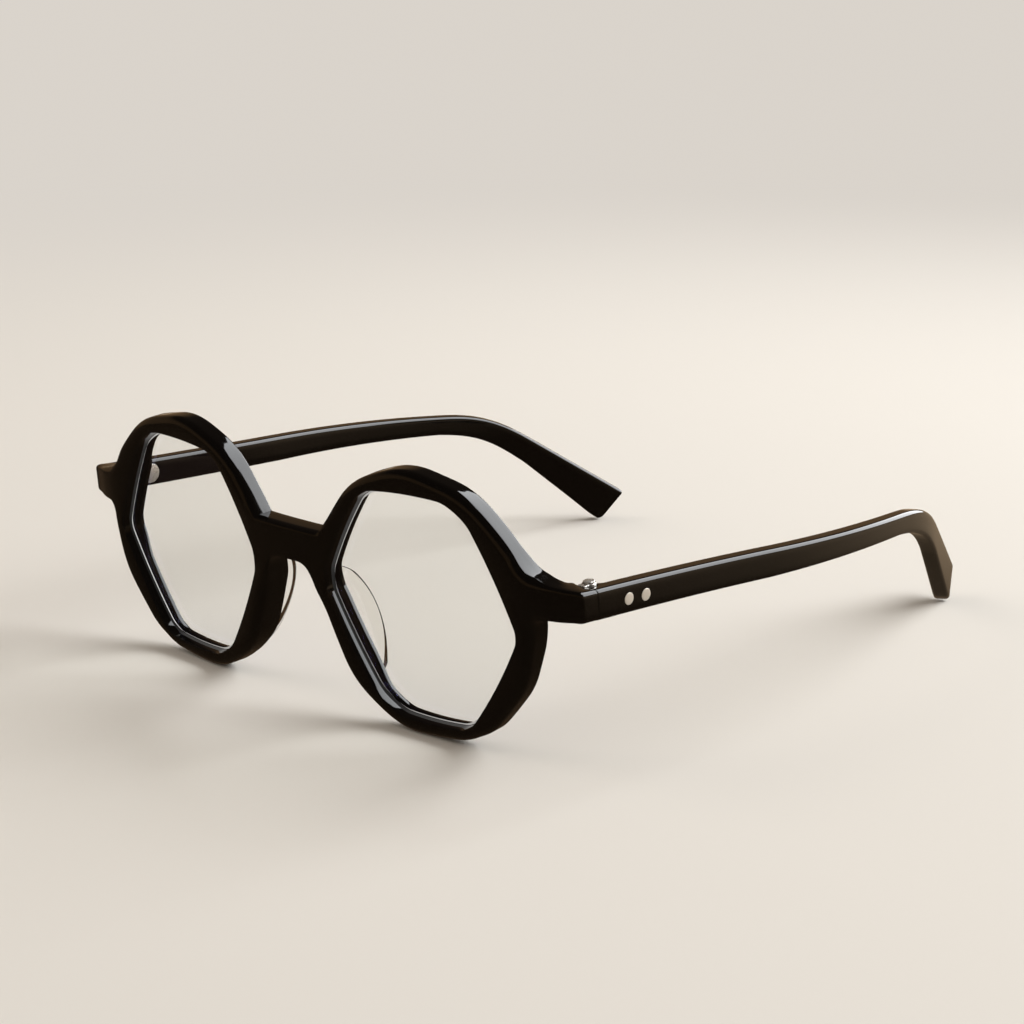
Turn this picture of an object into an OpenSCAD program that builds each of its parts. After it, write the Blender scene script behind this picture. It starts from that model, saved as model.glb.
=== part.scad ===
// Polygonal eyeglasses: an acetate front with six-sided lens openings, two bowed temples
// and five-knuckle hinges. The front is drawn upright, with X towards the wearer's left,
// Y towards the back of the head and Z up. The glasses then lean until the temple tips
// touch the table that the rims stand on.

/* [Lens opening] */
// Width of the opening from nose corner to temple corner, before rounding
open_w = 45.6; // [43:0.1:48]
// Height of the opening from its bottom side to its top side
open_h = 41.3; // [39:0.1:43]
// Length of the top side
open_top = 22.9; // [20:0.1:25]
// Length of the bottom side
open_bottom = 19.9; // [17:0.1:22]
// Distance from the nose corner in to the start of the top side
top_inset = 11.1; // [9:0.1:12]
// Distance from the nose corner in to the start of the bottom side
bottom_inset = 13; // [11:0.1:14]
// Height of the nose corner above the bottom side
nose_corner_h = 22.4; // [20:0.1:24]
// Height of the temple corner above the bottom side
temple_corner_h = 20; // [18:0.1:23]
// Outward swell in the middle of each side
side_swell = 0.7; // [0.2:0.1:1.2]

/* [Front] */
// Distance from the centre plane to the opening's nose corner
half_bridge = 9.4; // [8.5:0.1:11]
// Height of the opening's bottom side above the lowest point of the front
rim_bottom = 3.5; // [3:0.1:5]
// Thickness of the front, from front face to back face
front_t = 4.45; // [4:0.05:5.5]
// Angle by which each rim turns back from the bridge
wrap = 4.1; // [2:0.1:6]
// Outer corner over the top nose corner of the opening, sideways and up
rim_top_nose = [2, 6.8]; // [0:0.1:10]
// Outer corner over the top temple corner of the opening, sideways and up
rim_top_temple = [9, 0.2]; // [0:0.1:10]
// Outer corner beside the temple corner of the opening, sideways and down
rim_temple = [5.1, 3.3]; // [0:0.1:10]
// Outer corner under the bottom temple corner of the opening, sideways and down
rim_bottom_temple = [2.3, 2.3]; // [0:0.1:10]
// Outer corner under the bottom nose corner of the opening, sideways and down
rim_bottom_nose = [4.7, 3.5]; // [0:0.1:10]
// Outer corner beside the nose corner of the opening, sideways and up
rim_nose = [4.5, 3.6]; // [0:0.1:10]
// Width of the bevel round the front face
bevel_w = 1.9; // [1:0.1:2.4]
// Depth of the bevel round the front face
bevel_deep = 1.65; // [0.8:0.05:2]
// Rounding of the back edges
edge_round = 0.4; // [0.2:0.05:0.7]

/* [Bridge] */
// Height of the bridge's flat top
bridge_top = 35; // [34:0.1:36.5]
// Height of the bridge's underside at the centre
bridge_under = 28.2; // [27:0.1:30]
// Rounding where the underside turns down into the rims
arch_r = 3.6; // [2.5:0.1:4]

/* [Lens and groove] */
// Depth of the groove's bottom behind the front face
groove_at = 2.6; // [2.2:0.05:2.8]
// How far the groove cuts into the rim
groove_deep = 0.8; // [0.5:0.05:1]
// Width of the groove at its mouth
groove_w = 1.5; // [1:0.05:1.8]
// Thickness of the lens
lens_t = 2; // [1.6:0.05:2.4]
// Bulge of the lens's front surface
lens_sag = 1.2; // [0.6:0.1:1.5]
// Gap between the lens's edge and the rim
lens_gap = 0.05; // [0.02:0.01:0.1]

/* [Nose pad] */
// How far the pad stands out behind the rim
pad_reach = 6.1; // [4:0.1:7]
// Thickness of the pad at the rim
pad_t = 2.6; // [2:0.1:3]
// Thickness of the pad at its free edge
pad_edge = 1.3; // [0.8:0.1:1.8]
// Slope of the pad away from the nose
pad_splay = 18; // [10:1:25]
// Height of the pad's top end above the rims' lowest line
pad_from = 27; // [25:0.5:28]
// Height of the pad's lower end
pad_to = 6.8; // [5:0.2:9]
// How far the rim swells at the back under the pad
pad_root = 1.6; // [0:0.1:2]

/* [End piece] */
// Distance from the centre plane to the end piece's outer face
end_x = 67.2; // [65.5:0.1:69]
// Distance from the front's datum back to the end piece's front corner
end_corner_y = 7.2; // [6.5:0.1:8]
// Length of the end piece from that corner back to the joint
end_return = 4; // [3.5:0.1:5]
// Height of the end piece's top at the front corner
end_top = 33.2; // [32:0.1:34]
// Thickness of the end piece at the joint
end_t = 5.4; // [4.8:0.1:6]
// How far the rim swells at the back beside the end piece
end_root = 0.8; // [0:0.1:1.2]

/* [Temple] */
// Length of the temple along its top edge
temple_len = 146; // [138:1:152]
// Distance from the joint to the start of the ear bend
bend_at = 92; // [84:1:98]
// Length of the ear bend
bend_len = 28; // [22:1:32]
// Thickness of the temple
temple_t = 3.4; // [3.2:0.1:4]
// Height of the temple at the hinge
hinge_h = 5.65; // [5.4:0.05:6.2]
// Height of the temple halfway to the bend
middle_h = 5.45; // [4.6:0.05:5.6]
// Height of the temple at the start of the bend
bend_h = 4.25; // [3.6:0.05:5]
// Height of the temple at the end of the bend
bend_end_h = 5.65; // [4.8:0.05:6.5]
// Height of the temple at its tip
tip_h = 9; // [6:0.1:9.5]
// Rounding of the temple's long edges
temple_round = 0.85; // [0.5:0.05:1.1]
// Angle between the temple and a square line back from the front
dip = 7.6; // [6:0.1:10]
// How much steeper the temple runs by the start of the bend
dip_more = 2.2; // [0:0.1:3]
// Angle at which the tip drops below that square line
tip_drop = 37; // [30:0.5:42]
// Slant of the tip's end face, longer at the top
tip_cut = 10; // [0:1:20]
// Outward lean of the temple halfway to the bend
bow_out = 4.1; // [1:0.1:5]
// Inward lean of the temple at the start of the bend
bow_in = 12.5; // [8:0.5:14]
// Inward lean of the tip
tip_in = 26; // [20:0.5:30]

/* [Hinge] */
// Distance from the end piece's outer face in to the hinge axis
axis_in = 3.2; // [3:0.05:3.4]
// Distance from the joint back to the hinge axis
axis_back = 1.4; // [1.35:0.05:1.6]
// Radius of a knuckle
knuckle_r = 1.25; // [1.1:0.05:1.3]
// Height of a knuckle
knuckle_h = 1.1; // [0.9:0.05:1.2]
// Running gap between knuckles
knuckle_gap = 0.06; // [0.04:0.01:0.1]
// Radius of the hinge screw
screw_r = 0.6; // [0.5:0.05:0.7]
// Radial gap between the screw and the knuckles
screw_gap = 0.03; // [0.02:0.01:0.08]
// Radius of the screw's head
head_r = 1.05; // [0.9:0.05:1.1]
// Thickness of the hinge leaves where they are let in
leaf_t = 0.9; // [0.7:0.05:1]
// Height of the temple leaf's visible shield
leaf_h = 4; // [3.4:0.1:4.2]
// Length of the shield from the joint
leaf_len = 9.8; // [9.4:0.1:10.4]
// Length of the buried tongue from the joint
tongue_len = 14.2; // [13.8:0.1:15]

/* [Rivets] */
// Distance from the joint to the front rivet
rivet_at = 8.2; // [7.4:0.1:8.6]
// Distance between the two rivets
rivet_pitch = 4.4; // [4:0.1:5]
// Radius of a rivet's head
rivet_head_r = 1.1; // [0.9:0.05:1.3]
// Radius of a rivet's shank
rivet_r = 0.6; // [0.5:0.05:0.7]
// How far a rivet's head stands proud of the temple
rivet_proud = 0.12; // [0.05:0.01:0.25]

/* [Core wire] */
// Radius of the wire inside the temple
wire_r = 0.6; // [0.5:0.05:0.7]
// Distance from the end of the wire to the temple's tip
wire_short = 9; // [6:1:14]

/* [Hidden] */
$fn = 48;

acetate = [0.03, 0.028, 0.027];
crystal = [0.85, 0.86, 0.86, 0.6];
lens_clear = [0.75, 0.78, 0.85, 0.35];
nickel = [0.75, 0.73, 0.7];

// Gap between a let-in metal part and the acetate round it
fit_gap = 0.02;
// Gap between the temple's end and the end piece
joint_gap = 0.08;
// Gap round the knuckles where the acetate is cut back
relief_gap = 0.15;
joint_y = end_corner_y + end_return;
temple_y = joint_y + joint_gap;
hinge_x = end_x - axis_in;
hinge_y = temple_y + axis_back;
// The rims turn about this line, where the bridge meets them
wrap_x = 9;
corner_steps = 6;
side_steps = 5;

// Points and vectors
function unit(v) = v / norm(v);
function mix(a, b, t) = a + (b - a) * t;
function ease(t) = t <= 0 ? 0 : t >= 1 ? 1 : t * t * (3 - 2 * t);

// A corner turned into an arc, as a rational curve between its two tangent points
function round_corner(before, corner, after, r) =
    let (u = unit(before - corner), v = unit(after - corner), half = acos(u * v) / 2,
        cut = min(r / tan(half), 0.48 * norm(before - corner), 0.48 * norm(after - corner)),
        p = corner + u * cut, q = corner + v * cut, w = sin(half))
    [for (i = [0:corner_steps])
        let (t = i / corner_steps, a = pow(1 - t, 2), b = 2 * t * (1 - t) * w, c = t * t)
        (p * a + corner * b + q * c) / (a + b + c)];

// A rounded outline with the same number of points for any six corners
function outline(corners, radii) =
    let (n = len(corners),
        arcs = [for (i = [0:n - 1])
            round_corner(corners[(i + n - 1) % n], corners[i], corners[(i + 1) % n], radii[i])],
        flat = [for (i = [0:n - 1]) each concat(arcs[i],
            [for (k = [1:side_steps])
                mix(arcs[i][corner_steps], arcs[(i + 1) % n][0], k / (side_steps + 1))])])
    [for (p = flat) swell(p, corners)];

// Moves a point outwards by the swell of the side that it lies on
function swell(p, corners) =
    let (n = len(corners))
    p + add([for (i = [0:n - 1])
        let (a = corners[i], b = corners[(i + 1) % n], d = unit(b - a), out = [-d.y, d.x],
            t = min(1, max(0, (p - a) * d / norm(b - a))), far = (p - a) * out / 3)
        out * side_swell * 4 * t * (1 - t) * exp(-far * far)]);
function add(list, i = 0) = i == len(list) ? [0, 0] : list[i] + add(list, i + 1);

// Moves an outline inwards by d
function shrink(points, d) =
    let (n = len(points))
    [for (i = [0:n - 1])
        let (along = unit(points[(i + 1) % n] - points[(i + n - 1) % n]))
        points[i] - [-along.y, along.x] * d];

// Corners of the opening, clockwise from the nose corner as the viewer sees the left rim
opening_corners =
    let (x = half_bridge, z = rim_bottom)
    [[x, z + nose_corner_h], [x + top_inset, z + open_h], [x + top_inset + open_top, z + open_h + 0.5],
        [x + open_w, z + temple_corner_h], [x + bottom_inset + open_bottom, z], [x + bottom_inset, z]];
rim_corners =
    let (c = opening_corners)
    [c[0] + [-rim_nose.x, rim_nose.y], c[1] + rim_top_nose, c[2] + rim_top_temple,
        c[3] + [rim_temple.x, -rim_temple.y], c[4] + [rim_bottom_temple.x, -rim_bottom_temple.y],
        c[5] + [-rim_bottom_nose.x, -rim_bottom_nose.y]];
// Rounding of each corner, in the same order
opening_rounds = [5.5, 5, 7.9, 3, 4.4, 8.4];
rim_rounds = [11, 20, 21, 21, 13, 18];
opening = outline(opening_corners, opening_rounds);
rim_outline = outline(rim_corners, rim_rounds);

// A point of a rim's outline at a depth behind the front face, turned back by the wrap
function on_rim(p, depth) =
    [wrap_x + (p.x - wrap_x) * cos(wrap) - depth * sin(wrap),
        (p.x - wrap_x) * sin(wrap) + depth * cos(wrap), p.y];
function rim_ring(points, depth) = [for (p = points) on_rim(p, depth)];
// The rim's back, less d: it swells on the nose side under the pad, more at the outer
// wall than at the opening, and beside the end piece
function ramp(x, from, over) = ease((x - from) / over);
function pad_swell(p) = pad_root * ramp(p.y, 4, 8) * ramp(-p.y, -29.5, 8) * ramp(-p.x, -26, 6);
function end_swell(p) = end_root * ramp(p.y, 24, 5) * ramp(-p.y, -43, 7) * ramp(p.x, 44, 5);
function back_depth(p, share, d = 0) = front_t + pad_swell(p) * share + end_swell(p) - d;
function back_ring(points, share, d) = [for (p = points) on_rim(p, back_depth(p, share, d))];

// A solid through a row of rings that have the same number of points
module skin(rings, looped = false) {
    m = len(rings);
    n = len(rings[0]);
    sides = [for (i = [0:m - (looped ? 1 : 2)], j = [0:n - 1])
        let (a = i * n + j, b = i * n + (j + 1) % n, c = (i + 1) % m * n + (j + 1) % n,
            e = (i + 1) % m * n + j)
        each [[a, e, c], [a, c, b]]];
    caps = looped ? [] : [[for (j = [0:n - 1]) j], [for (j = [n - 1:-1:0]) (m - 1) * n + j]];
    polyhedron([for (r = rings) each r], concat(sides, caps), convexity = 6);
}

module mirrored() {
    mirror([1, 0, 0]) children();
}

// Rim: its section goes round the bevelled front, the outer wall, the back and the groove
rim_rings = [
    rim_ring(shrink(opening, -0.45), 0),
    rim_ring(shrink(rim_outline, bevel_w), 0),
    rim_ring(shrink(rim_outline, bevel_w * 0.45), bevel_deep * 0.2),
    rim_ring(shrink(rim_outline, bevel_w * 0.13), bevel_deep * 0.55),
    rim_ring(rim_outline, bevel_deep),
    back_ring(rim_outline, 1, edge_round),
    back_ring(shrink(rim_outline, edge_round), 1, 0),
    back_ring(shrink(opening, -edge_round), 0.5, 0),
    back_ring(opening, 0.5, edge_round),
    rim_ring(opening, groove_at + groove_w / 2),
    rim_ring(shrink(opening, -groove_deep), groove_at),
    rim_ring(opening, groove_at - groove_w / 2),
    rim_ring(opening, 0.45)];

module rim() {
    skin(rim_rings, looped = true);
}

// Bridge: stations across the nose, whose underside turns down into the rims
bridge_reach_top = 12;
bridge_reach_low = 8.4;
// The bridge's faces lie this far inside the rims' faces where the two meet
bridge_inset = 0.04;
bridge_low = bridge_under - arch_r;
bridge_back = front_t - 2 * bridge_inset;
function bridge_front(x) = bridge_inset - tan(wrap) * (wrap_x * wrap_x - x * x) / (2 * wrap_x);
function bridge_floor(x) =
    let (past = max(0, abs(x) - (bridge_reach_low - 1.2 - arch_r)), d = min(past, arch_r))
    bridge_under - arch_r + sqrt(max(0, arch_r * arch_r - d * d));
function bridge_x(s, z) = s * mix(bridge_reach_low, bridge_reach_top,
    (z - bridge_low) / (bridge_top - bridge_low));
function bridge_point(s, depth, z) =
    let (x = bridge_x(s, z)) [x, bridge_front(min(abs(x), wrap_x + 1)) + depth, z];
function bridge_station(s) =
    let (low = bridge_floor(s * bridge_reach_low))
    [bridge_point(s, 0, low + 0.5), bridge_point(s, 0, bridge_top - bevel_w * 0.7),
        bridge_point(s, bevel_deep * 0.3, bridge_top - bevel_w * 0.25),
        bridge_point(s, bevel_deep * 0.8, bridge_top), bridge_point(s, bridge_back - 0.2, bridge_top),
        bridge_point(s, bridge_back, bridge_top - 0.2), bridge_point(s, bridge_back, low + 0.4),
        bridge_point(s, bridge_back - 0.4, low), bridge_point(s, 0.5, low)];

module bridge() {
    skin([for (i = [10:-1:-10]) bridge_station(i / 10)]);
}

// End piece: grows out of the rim, turns the corner and ends at the joint
module slab_x(x, y0, y1, z0, z1, r) {
    translate([x, y0, z0]) rotate([90, 0, 90]) linear_extrude(0.02)
        rounded(y1 - y0, z1 - z0, r);
}
module slab_y(y, x0, x1, z0, z1, r) {
    translate([x0, y, z0]) rotate([90, 0, 0]) linear_extrude(0.02)
        rounded(x1 - x0, z1 - z0, r);
}
module rounded(w, h, r) {
    translate([r, r]) hull() for (x = [0, w - 2 * r], y = [0, h - 2 * r])
        translate([x, y]) circle(r, $fn = 16);
}
function temple_top(y) = end_top - (y - end_corner_y) * tan(dip);
module end_piece() {
    inner = end_x - end_t;
    root_x = wrap_x + (rim_corners[3].x - wrap_x) * cos(wrap) - 4.6;
    root_y = (root_x - wrap_x) * tan(wrap);
    hull() {
        slab_x(root_x, root_y + 1.4, root_y + front_t - 0.1, end_top - 7.4, end_top + 2.6, 0.8);
        slab_x(root_x + 5.2, root_y + 2.1, root_y + front_t + 0.3, end_top - 6.8, end_top + 1.9, 0.8);
        slab_y(end_corner_y + 0.02, inner + 1.6, end_x - 0.7, end_top - hinge_h + 0.7, end_top - 0.6, 0.5);
        slab_y(end_corner_y + 0.3, inner + 1, end_x - 0.2, end_top - hinge_h + 0.25, end_top - 0.2, 0.7);
        slab_y(end_corner_y + 0.9, inner + 0.6, end_x, end_top - hinge_h, end_top - 0.1, temple_round);
        slab_y(joint_y, inner, end_x, temple_top(joint_y) - hinge_h, temple_top(joint_y), temple_round);
    }
}

// Hinge: knuckles 1, 3 and 5 belong to the front leaf, 2 and 4 to the temple leaf
stack_h = 5 * knuckle_h + 4 * knuckle_gap;
stack_base = temple_top(hinge_y) - stack_h + 0.5;
function knuckle_z(i) = stack_base + i * (knuckle_h + knuckle_gap);
tongue_w = 1.7;
anchor_deep = 3;
anchor_h = 3.6;
stack_mid = stack_base + stack_h / 2;

module knuckle(i, from, to) {
    difference() {
        union() {
            translate([hinge_x, hinge_y, knuckle_z(i)]) cylinder(r = knuckle_r, h = knuckle_h);
            translate([hinge_x - tongue_w / 2, from, knuckle_z(i)]) cube([tongue_w, to - from, knuckle_h]);
        }
        translate([hinge_x, hinge_y, knuckle_z(i) - 1]) cylinder(r = screw_r + screw_gap, h = knuckle_h + 2);
    }
}

module front_leaf() {
    for (i = [0, 2, 4]) knuckle(i, joint_y, hinge_y);
    translate([hinge_x - tongue_w / 2, joint_y - 0.6, stack_base]) cube([tongue_w, 0.6, stack_h]);
    translate([hinge_x - tongue_w / 2, joint_y - anchor_deep, stack_mid - anchor_h / 2])
        cube([tongue_w, anchor_deep, anchor_h]);
}

module hinge_screw() {
    slot_w = 0.3;
    head_h = 0.5;
    top = stack_base + stack_h + knuckle_gap;
    difference() {
        translate([hinge_x, hinge_y, 0]) union() {
            translate([0, 0, stack_base + 0.1]) cylinder(r = screw_r, h = top - stack_base);
            translate([0, 0, top]) cylinder(r = head_r, h = head_h * 0.6);
            translate([0, 0, top + head_h * 0.6]) cylinder(r1 = head_r, r2 = head_r * 0.8, h = head_h * 0.4);
        }
        translate([hinge_x - head_r * 1.5, hinge_y - slot_w / 2, top + head_h * 0.5])
            cube([head_r * 3, slot_w, head_h]);
    }
}

module front_pocket() {
    translate([hinge_x - tongue_w / 2 - fit_gap, joint_y - 0.6 - fit_gap, stack_base - 0.5])
        cube([tongue_w + 2 * fit_gap, 3, stack_h + 1]);
    translate([hinge_x - tongue_w / 2 - fit_gap, joint_y - anchor_deep - fit_gap,
        stack_mid - anchor_h / 2 - fit_gap])
        cube([tongue_w + 2 * fit_gap, anchor_deep, anchor_h + 2 * fit_gap]);
}

module front_frame() {
    color(acetate) difference() {
        union() {
            rim();
            mirrored() rim();
            bridge();
            end_piece();
            mirrored() end_piece();
        }
        front_pocket();
        mirrored() front_pocket();
    }
}

// Lens: a shallow dish whose edge has a V bevel that sits in the groove
lens_outline = [for (i = [0:2:len(opening) - 1]) shrink(opening, lens_gap)[i]];
lens_centre = [half_bridge + open_w / 2, rim_bottom + open_h / 2];
lens_front = groove_at - lens_t / 2 + 0.1;
function lens_ring(k, depth, bulge) =
    rim_ring([for (p = lens_outline) mix(lens_centre, p, k)], depth - bulge * (1 - k * k));
lens_rings = concat(
    [for (k = [0.02, 0.35, 0.7, 1]) lens_ring(k, lens_front, lens_sag)],
    [rim_ring(lens_outline, groove_at - groove_w * 0.42),
        rim_ring(shrink(lens_outline, 0.1 - groove_deep), groove_at),
        rim_ring(lens_outline, groove_at + groove_w * 0.42)],
    [for (k = [1, 0.7, 0.35, 0.02]) lens_ring(k, lens_front + lens_t, lens_sag)]);
module lens() {
    color(lens_clear) skin(lens_rings);
}

// Nose pad: a wing on the back of the rim that follows the rim's nose side
pad_stations = 12;
// The rim's nose side at a height: its distance from the centre plane and its depth there
function nose_side(z) =
    let (hits = [for (i = [0:len(rim_outline) - 1])
        let (a = rim_outline[i], b = rim_outline[(i + 1) % len(rim_outline)], t = (z - a.y) / (b.y - a.y))
        if (a.x < lens_centre.x && b.x < lens_centre.x && (a.y - z) * (b.y - z) <= 0 && a.y != b.y)
            [mix(a.x, b.x, t), mix(back_depth(a, 1), back_depth(b, 1), t)]])
    hits[0];
function pad_ring(t) =
    let (z = mix(pad_from, pad_to, t), at = nose_side(z), x = at.x + 0.35, root = at.y + 2 * fit_gap,
        side = mix(root, front_t, 0.1),
        rise = max(pad_reach * pow(sin(180 * pow(t, 0.9)), 0.5), root - front_t + 0.3),
        thick = pad_t * min(1, 0.35 + 2.4 * sin(180 * t)),
        tip = mix(thick, pad_edge, min(1, rise / pad_reach)), lean = rise * tan(pad_splay),
        half = (root - front_t + rise) / 2)
    [on_rim([x, z], root), on_rim([x + lean * 0.4, z], front_t + half),
        on_rim([x + lean, z], front_t + rise - tip * 0.1),
        on_rim([x + lean + tip * 0.3, z], front_t + rise),
        on_rim([x + lean + tip * 0.75, z], front_t + rise),
        on_rim([x + lean + tip, z], front_t + rise - tip * 0.1),
        on_rim([x + lean * 0.4 + mix(thick, tip, 0.5), z], front_t + half), on_rim([x + thick, z], side)];
module nose_pad() {
    color(crystal) skin([for (i = [0:pad_stations]) pad_ring(i / pad_stations)]);
}

// Temple: its top outer edge is a path whose headings change along it
function heading(s) =
    s < bend_at / 2 ? mix(0, -bow_out, 2 * s / bend_at)
    : s < bend_at ? mix(-bow_out, bow_in, 2 * s / bend_at - 1)
    : mix(bow_in, tip_in, ease((s - bend_at) / bend_len));
function slope(s) =
    s < bend_at ? dip + dip_more * pow(s / bend_at, 3)
    : mix(dip + dip_more, tip_drop, ease((s - bend_at) / bend_len));
function direction(s) = [-sin(heading(s)) * cos(slope(s)), cos(heading(s)) * cos(slope(s)), -sin(slope(s))];
function upward(s) = let (d = direction(s)) unit([0, 0, 1] - d * d.z);
function outward(s) = cross(direction(s), upward(s));
function temple_h(s) = lookup(s, [[0, hinge_h], [bend_at / 2, middle_h], [bend_at, bend_h],
    [bend_at + bend_len, bend_end_h], [temple_len, tip_h]]);
step = 1;
edge_path = [for (i = 0, p = [end_x, temple_y, temple_top(temple_y)]; i <= temple_len / step;
    p = p + direction((i + 0.5) * step) * step, i = i + 1) p];
function on_path(s) =
    let (i = min(floor(s / step), len(edge_path) - 2)) mix(edge_path[i], edge_path[i + 1], s / step - i);
function in_temple(s, inward, down) = on_path(s) - outward(s) * inward - upward(s) * down;

// The temple's section, a rounded rectangle made smaller by inset
section_steps = 3;
function section(s, inset = 0) =
    let (h = temple_h(s), r = temple_round)
    [for (k = [0:3], i = [0:section_steps])
        let (a = -90 * k - 90 * i / section_steps, cx = (k == 0 || k == 3) ? temple_t - r : r,
            cz = k < 2 ? r : h - r, grow = r - inset)
        in_temple(s, cx + grow * cos(a), cz + grow * sin(a))];
// A section near the tip, slanted as the tip's end face is
function slanted(s, inset) =
    let (d = direction(s), h = upward(s), middle = in_temple(s, 0, temple_h(s) / 2))
    [for (p = section(s, inset)) p + d * ((p - middle) * h * tan(tip_cut))];
// Slides a ring along the temple until it lies in the joint's plane
function to_joint(ring) =
    let (d = direction(0)) [for (p = ring) p + d * (temple_y - p.y) / d.y];
function tube(s, r) = [for (k = [0:3], i = [0:section_steps])
    let (a = -90 * k - 90 * (i + 0.5) / (section_steps + 1))
    in_temple(s, temple_t / 2 + r * cos(a), temple_h(s) / 2 + r * sin(a))];
straight_stops = [for (k = [1:7]) bend_at * k / 7];
bend_stops = [for (k = [1:9]) bend_at + bend_len * k / 9];
wire_from = tongue_len + 1;
wire_to = temple_len - wire_short;
wire_stops = concat([for (s = straight_stops) if (s > wire_from + 2) s], bend_stops, [wire_to]);
temple_rings = concat([to_joint(section(0))],
    [for (s = concat(straight_stops, bend_stops)) section(s)],
    [slanted(temple_len - 1, 0), slanted(temple_len - 0.3, 0.3), slanted(temple_len, temple_round * 0.9)]);
channel_r = wire_r + fit_gap;
channel_rings = concat([to_joint(tube(0, channel_r))],
    [for (s = concat([wire_from], wire_stops)) tube(s, channel_r)]);
module temple_body() {
    flipped = [for (i = [len(channel_rings) - 1:-1:0]) channel_rings[i]];
    skin(concat(flipped, temple_rings));
}

// Places children in the temple's own frame at the joint: X outwards, Y along it, Z up
module at_joint() {
    u = outward(0);
    d = direction(0);
    h = upward(0);
    p = on_path(0) - h * hinge_h / 2;
    multmatrix([[u.x, d.x, h.x, p.x], [u.y, d.y, h.y, p.y], [u.z, d.z, h.z, p.z], [0, 0, 0, 1]]) children();
}
rivet_drift = 0.1;
leaf_proud = 0.2;
tongue_t = 0.7;
tongue_h = 2.8;
rivet_seat = 0.5;
shield_from = 3.4;
neck_y = hinge_y + knuckle_r + relief_gap;
neck_len = 1.7;

// The block that joins the temple leaf's two knuckles, grown by a gap for its pocket
module neck(gap = 0) {
    translate([hinge_x - tongue_w / 2 - gap, neck_y - gap, knuckle_z(1) - gap])
        cube([tongue_w + 2 * gap, neck_len + 2 * gap, knuckle_z(3) + knuckle_h - knuckle_z(1) + 2 * gap]);
}

// The leaf's plates, let into the temple's inner face, grown by a gap for the pocket
module leaf_plates(gap = 0) {
    back = -temple_t - leaf_proud;
    end_r = leaf_h / 2;
    translate([0, 0, -rivet_drift]) {
        translate([back, shield_from - gap, -leaf_h / 2 - gap])
            cube([leaf_proud + leaf_t + gap, leaf_len - end_r - shield_from + gap, leaf_h + 2 * gap]);
        translate([back, leaf_len - end_r, 0]) rotate([0, 90, 0])
            cylinder(r = end_r + gap, h = leaf_proud + leaf_t + gap);
        translate([-temple_t + leaf_t - 0.3 - gap, 4, -tongue_h / 2 - gap])
            cube([tongue_t + 0.3 + 2 * gap, tongue_len - 4 + gap, tongue_h + 2 * gap]);
    }
}
module rivet_hole(at, r, from, to) {
    translate([from, at, -rivet_drift]) rotate([0, 90, 0]) cylinder(r = r, h = to - from);
}

module temple() {
    color(acetate) difference() {
        temple_body();
        translate([hinge_x, hinge_y, stack_base - 3]) cylinder(r = knuckle_r + relief_gap, h = stack_h + 6);
        translate([hinge_x - 4, temple_y - 1, stack_base - 3])
            cube([4 + knuckle_r + relief_gap, 1 + axis_back, stack_h + 6]);
        translate([hinge_x - 4, hinge_y - 0.01, stack_base - 3])
            cube([4 + tongue_w / 2 + fit_gap, knuckle_r + relief_gap + 0.01, stack_h + 6]);
        neck(fit_gap);
        at_joint() {
            leaf_plates(fit_gap);
            for (at = [rivet_at, rivet_at + rivet_pitch]) {
                rivet_hole(at, rivet_r + fit_gap, -temple_t - 1, 1);
                rivet_hole(at, rivet_head_r + fit_gap, -rivet_seat, 1);
            }
        }
    }
}

module temple_leaf() {
    color(nickel) {
        for (i = [1, 3]) knuckle(i, hinge_y, neck_y + 0.2);
        neck();
        difference() {
            at_joint() leaf_plates();
            at_joint() for (at = [rivet_at, rivet_at + rivet_pitch])
                rivet_hole(at, rivet_r + fit_gap, -temple_t - 1, 1);
        }
    }
}

module rivet(at, inner) {
    color(nickel) at_joint() {
        rivet_hole(at, rivet_r, inner, -rivet_seat);
        rivet_hole(at, rivet_head_r, -rivet_seat, rivet_proud * 0.5);
        translate([rivet_proud * 0.5, at, -rivet_drift]) rotate([0, 90, 0])
            cylinder(r1 = rivet_head_r, r2 = rivet_head_r * 0.85, h = rivet_proud * 0.5);
    }
}
module front_rivet() {
    rivet(rivet_at, -temple_t - leaf_proud);
}
module rear_rivet() {
    rivet(rivet_at + rivet_pitch, -temple_t);
}

module core_wire() {
    color(nickel) skin([for (s = concat([wire_from], wire_stops))
        tube(s, s == wire_to ? wire_r * 0.8 : wire_r)]);
}

// The front leans until its rims and the temple tips touch the table together
function lowest(points, a) = min([for (p = points) p.y * sin(a) + p.z * cos(a)]);
rim_points = [for (r = rim_rings) each r];
temple_points = [for (r = temple_rings) each r];
function find_lean(low, high, n) =
    let (a = (low + high) / 2)
    n == 0 ? a
    : lowest(rim_points, a) > lowest(temple_points, a) ? find_lean(a, high, n - 1)
    : find_lean(low, a, n - 1);
lean = find_lean(0, 15, 24);
all_y = [for (p = concat(rim_points, temple_points)) p.y * cos(lean) - p.z * sin(lean)];
module standing() {
    translate([0, -(min(all_y) + max(all_y)) / 2, -lowest(rim_points, lean)])
        rotate([lean, 0, 0]) children();
}

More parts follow.
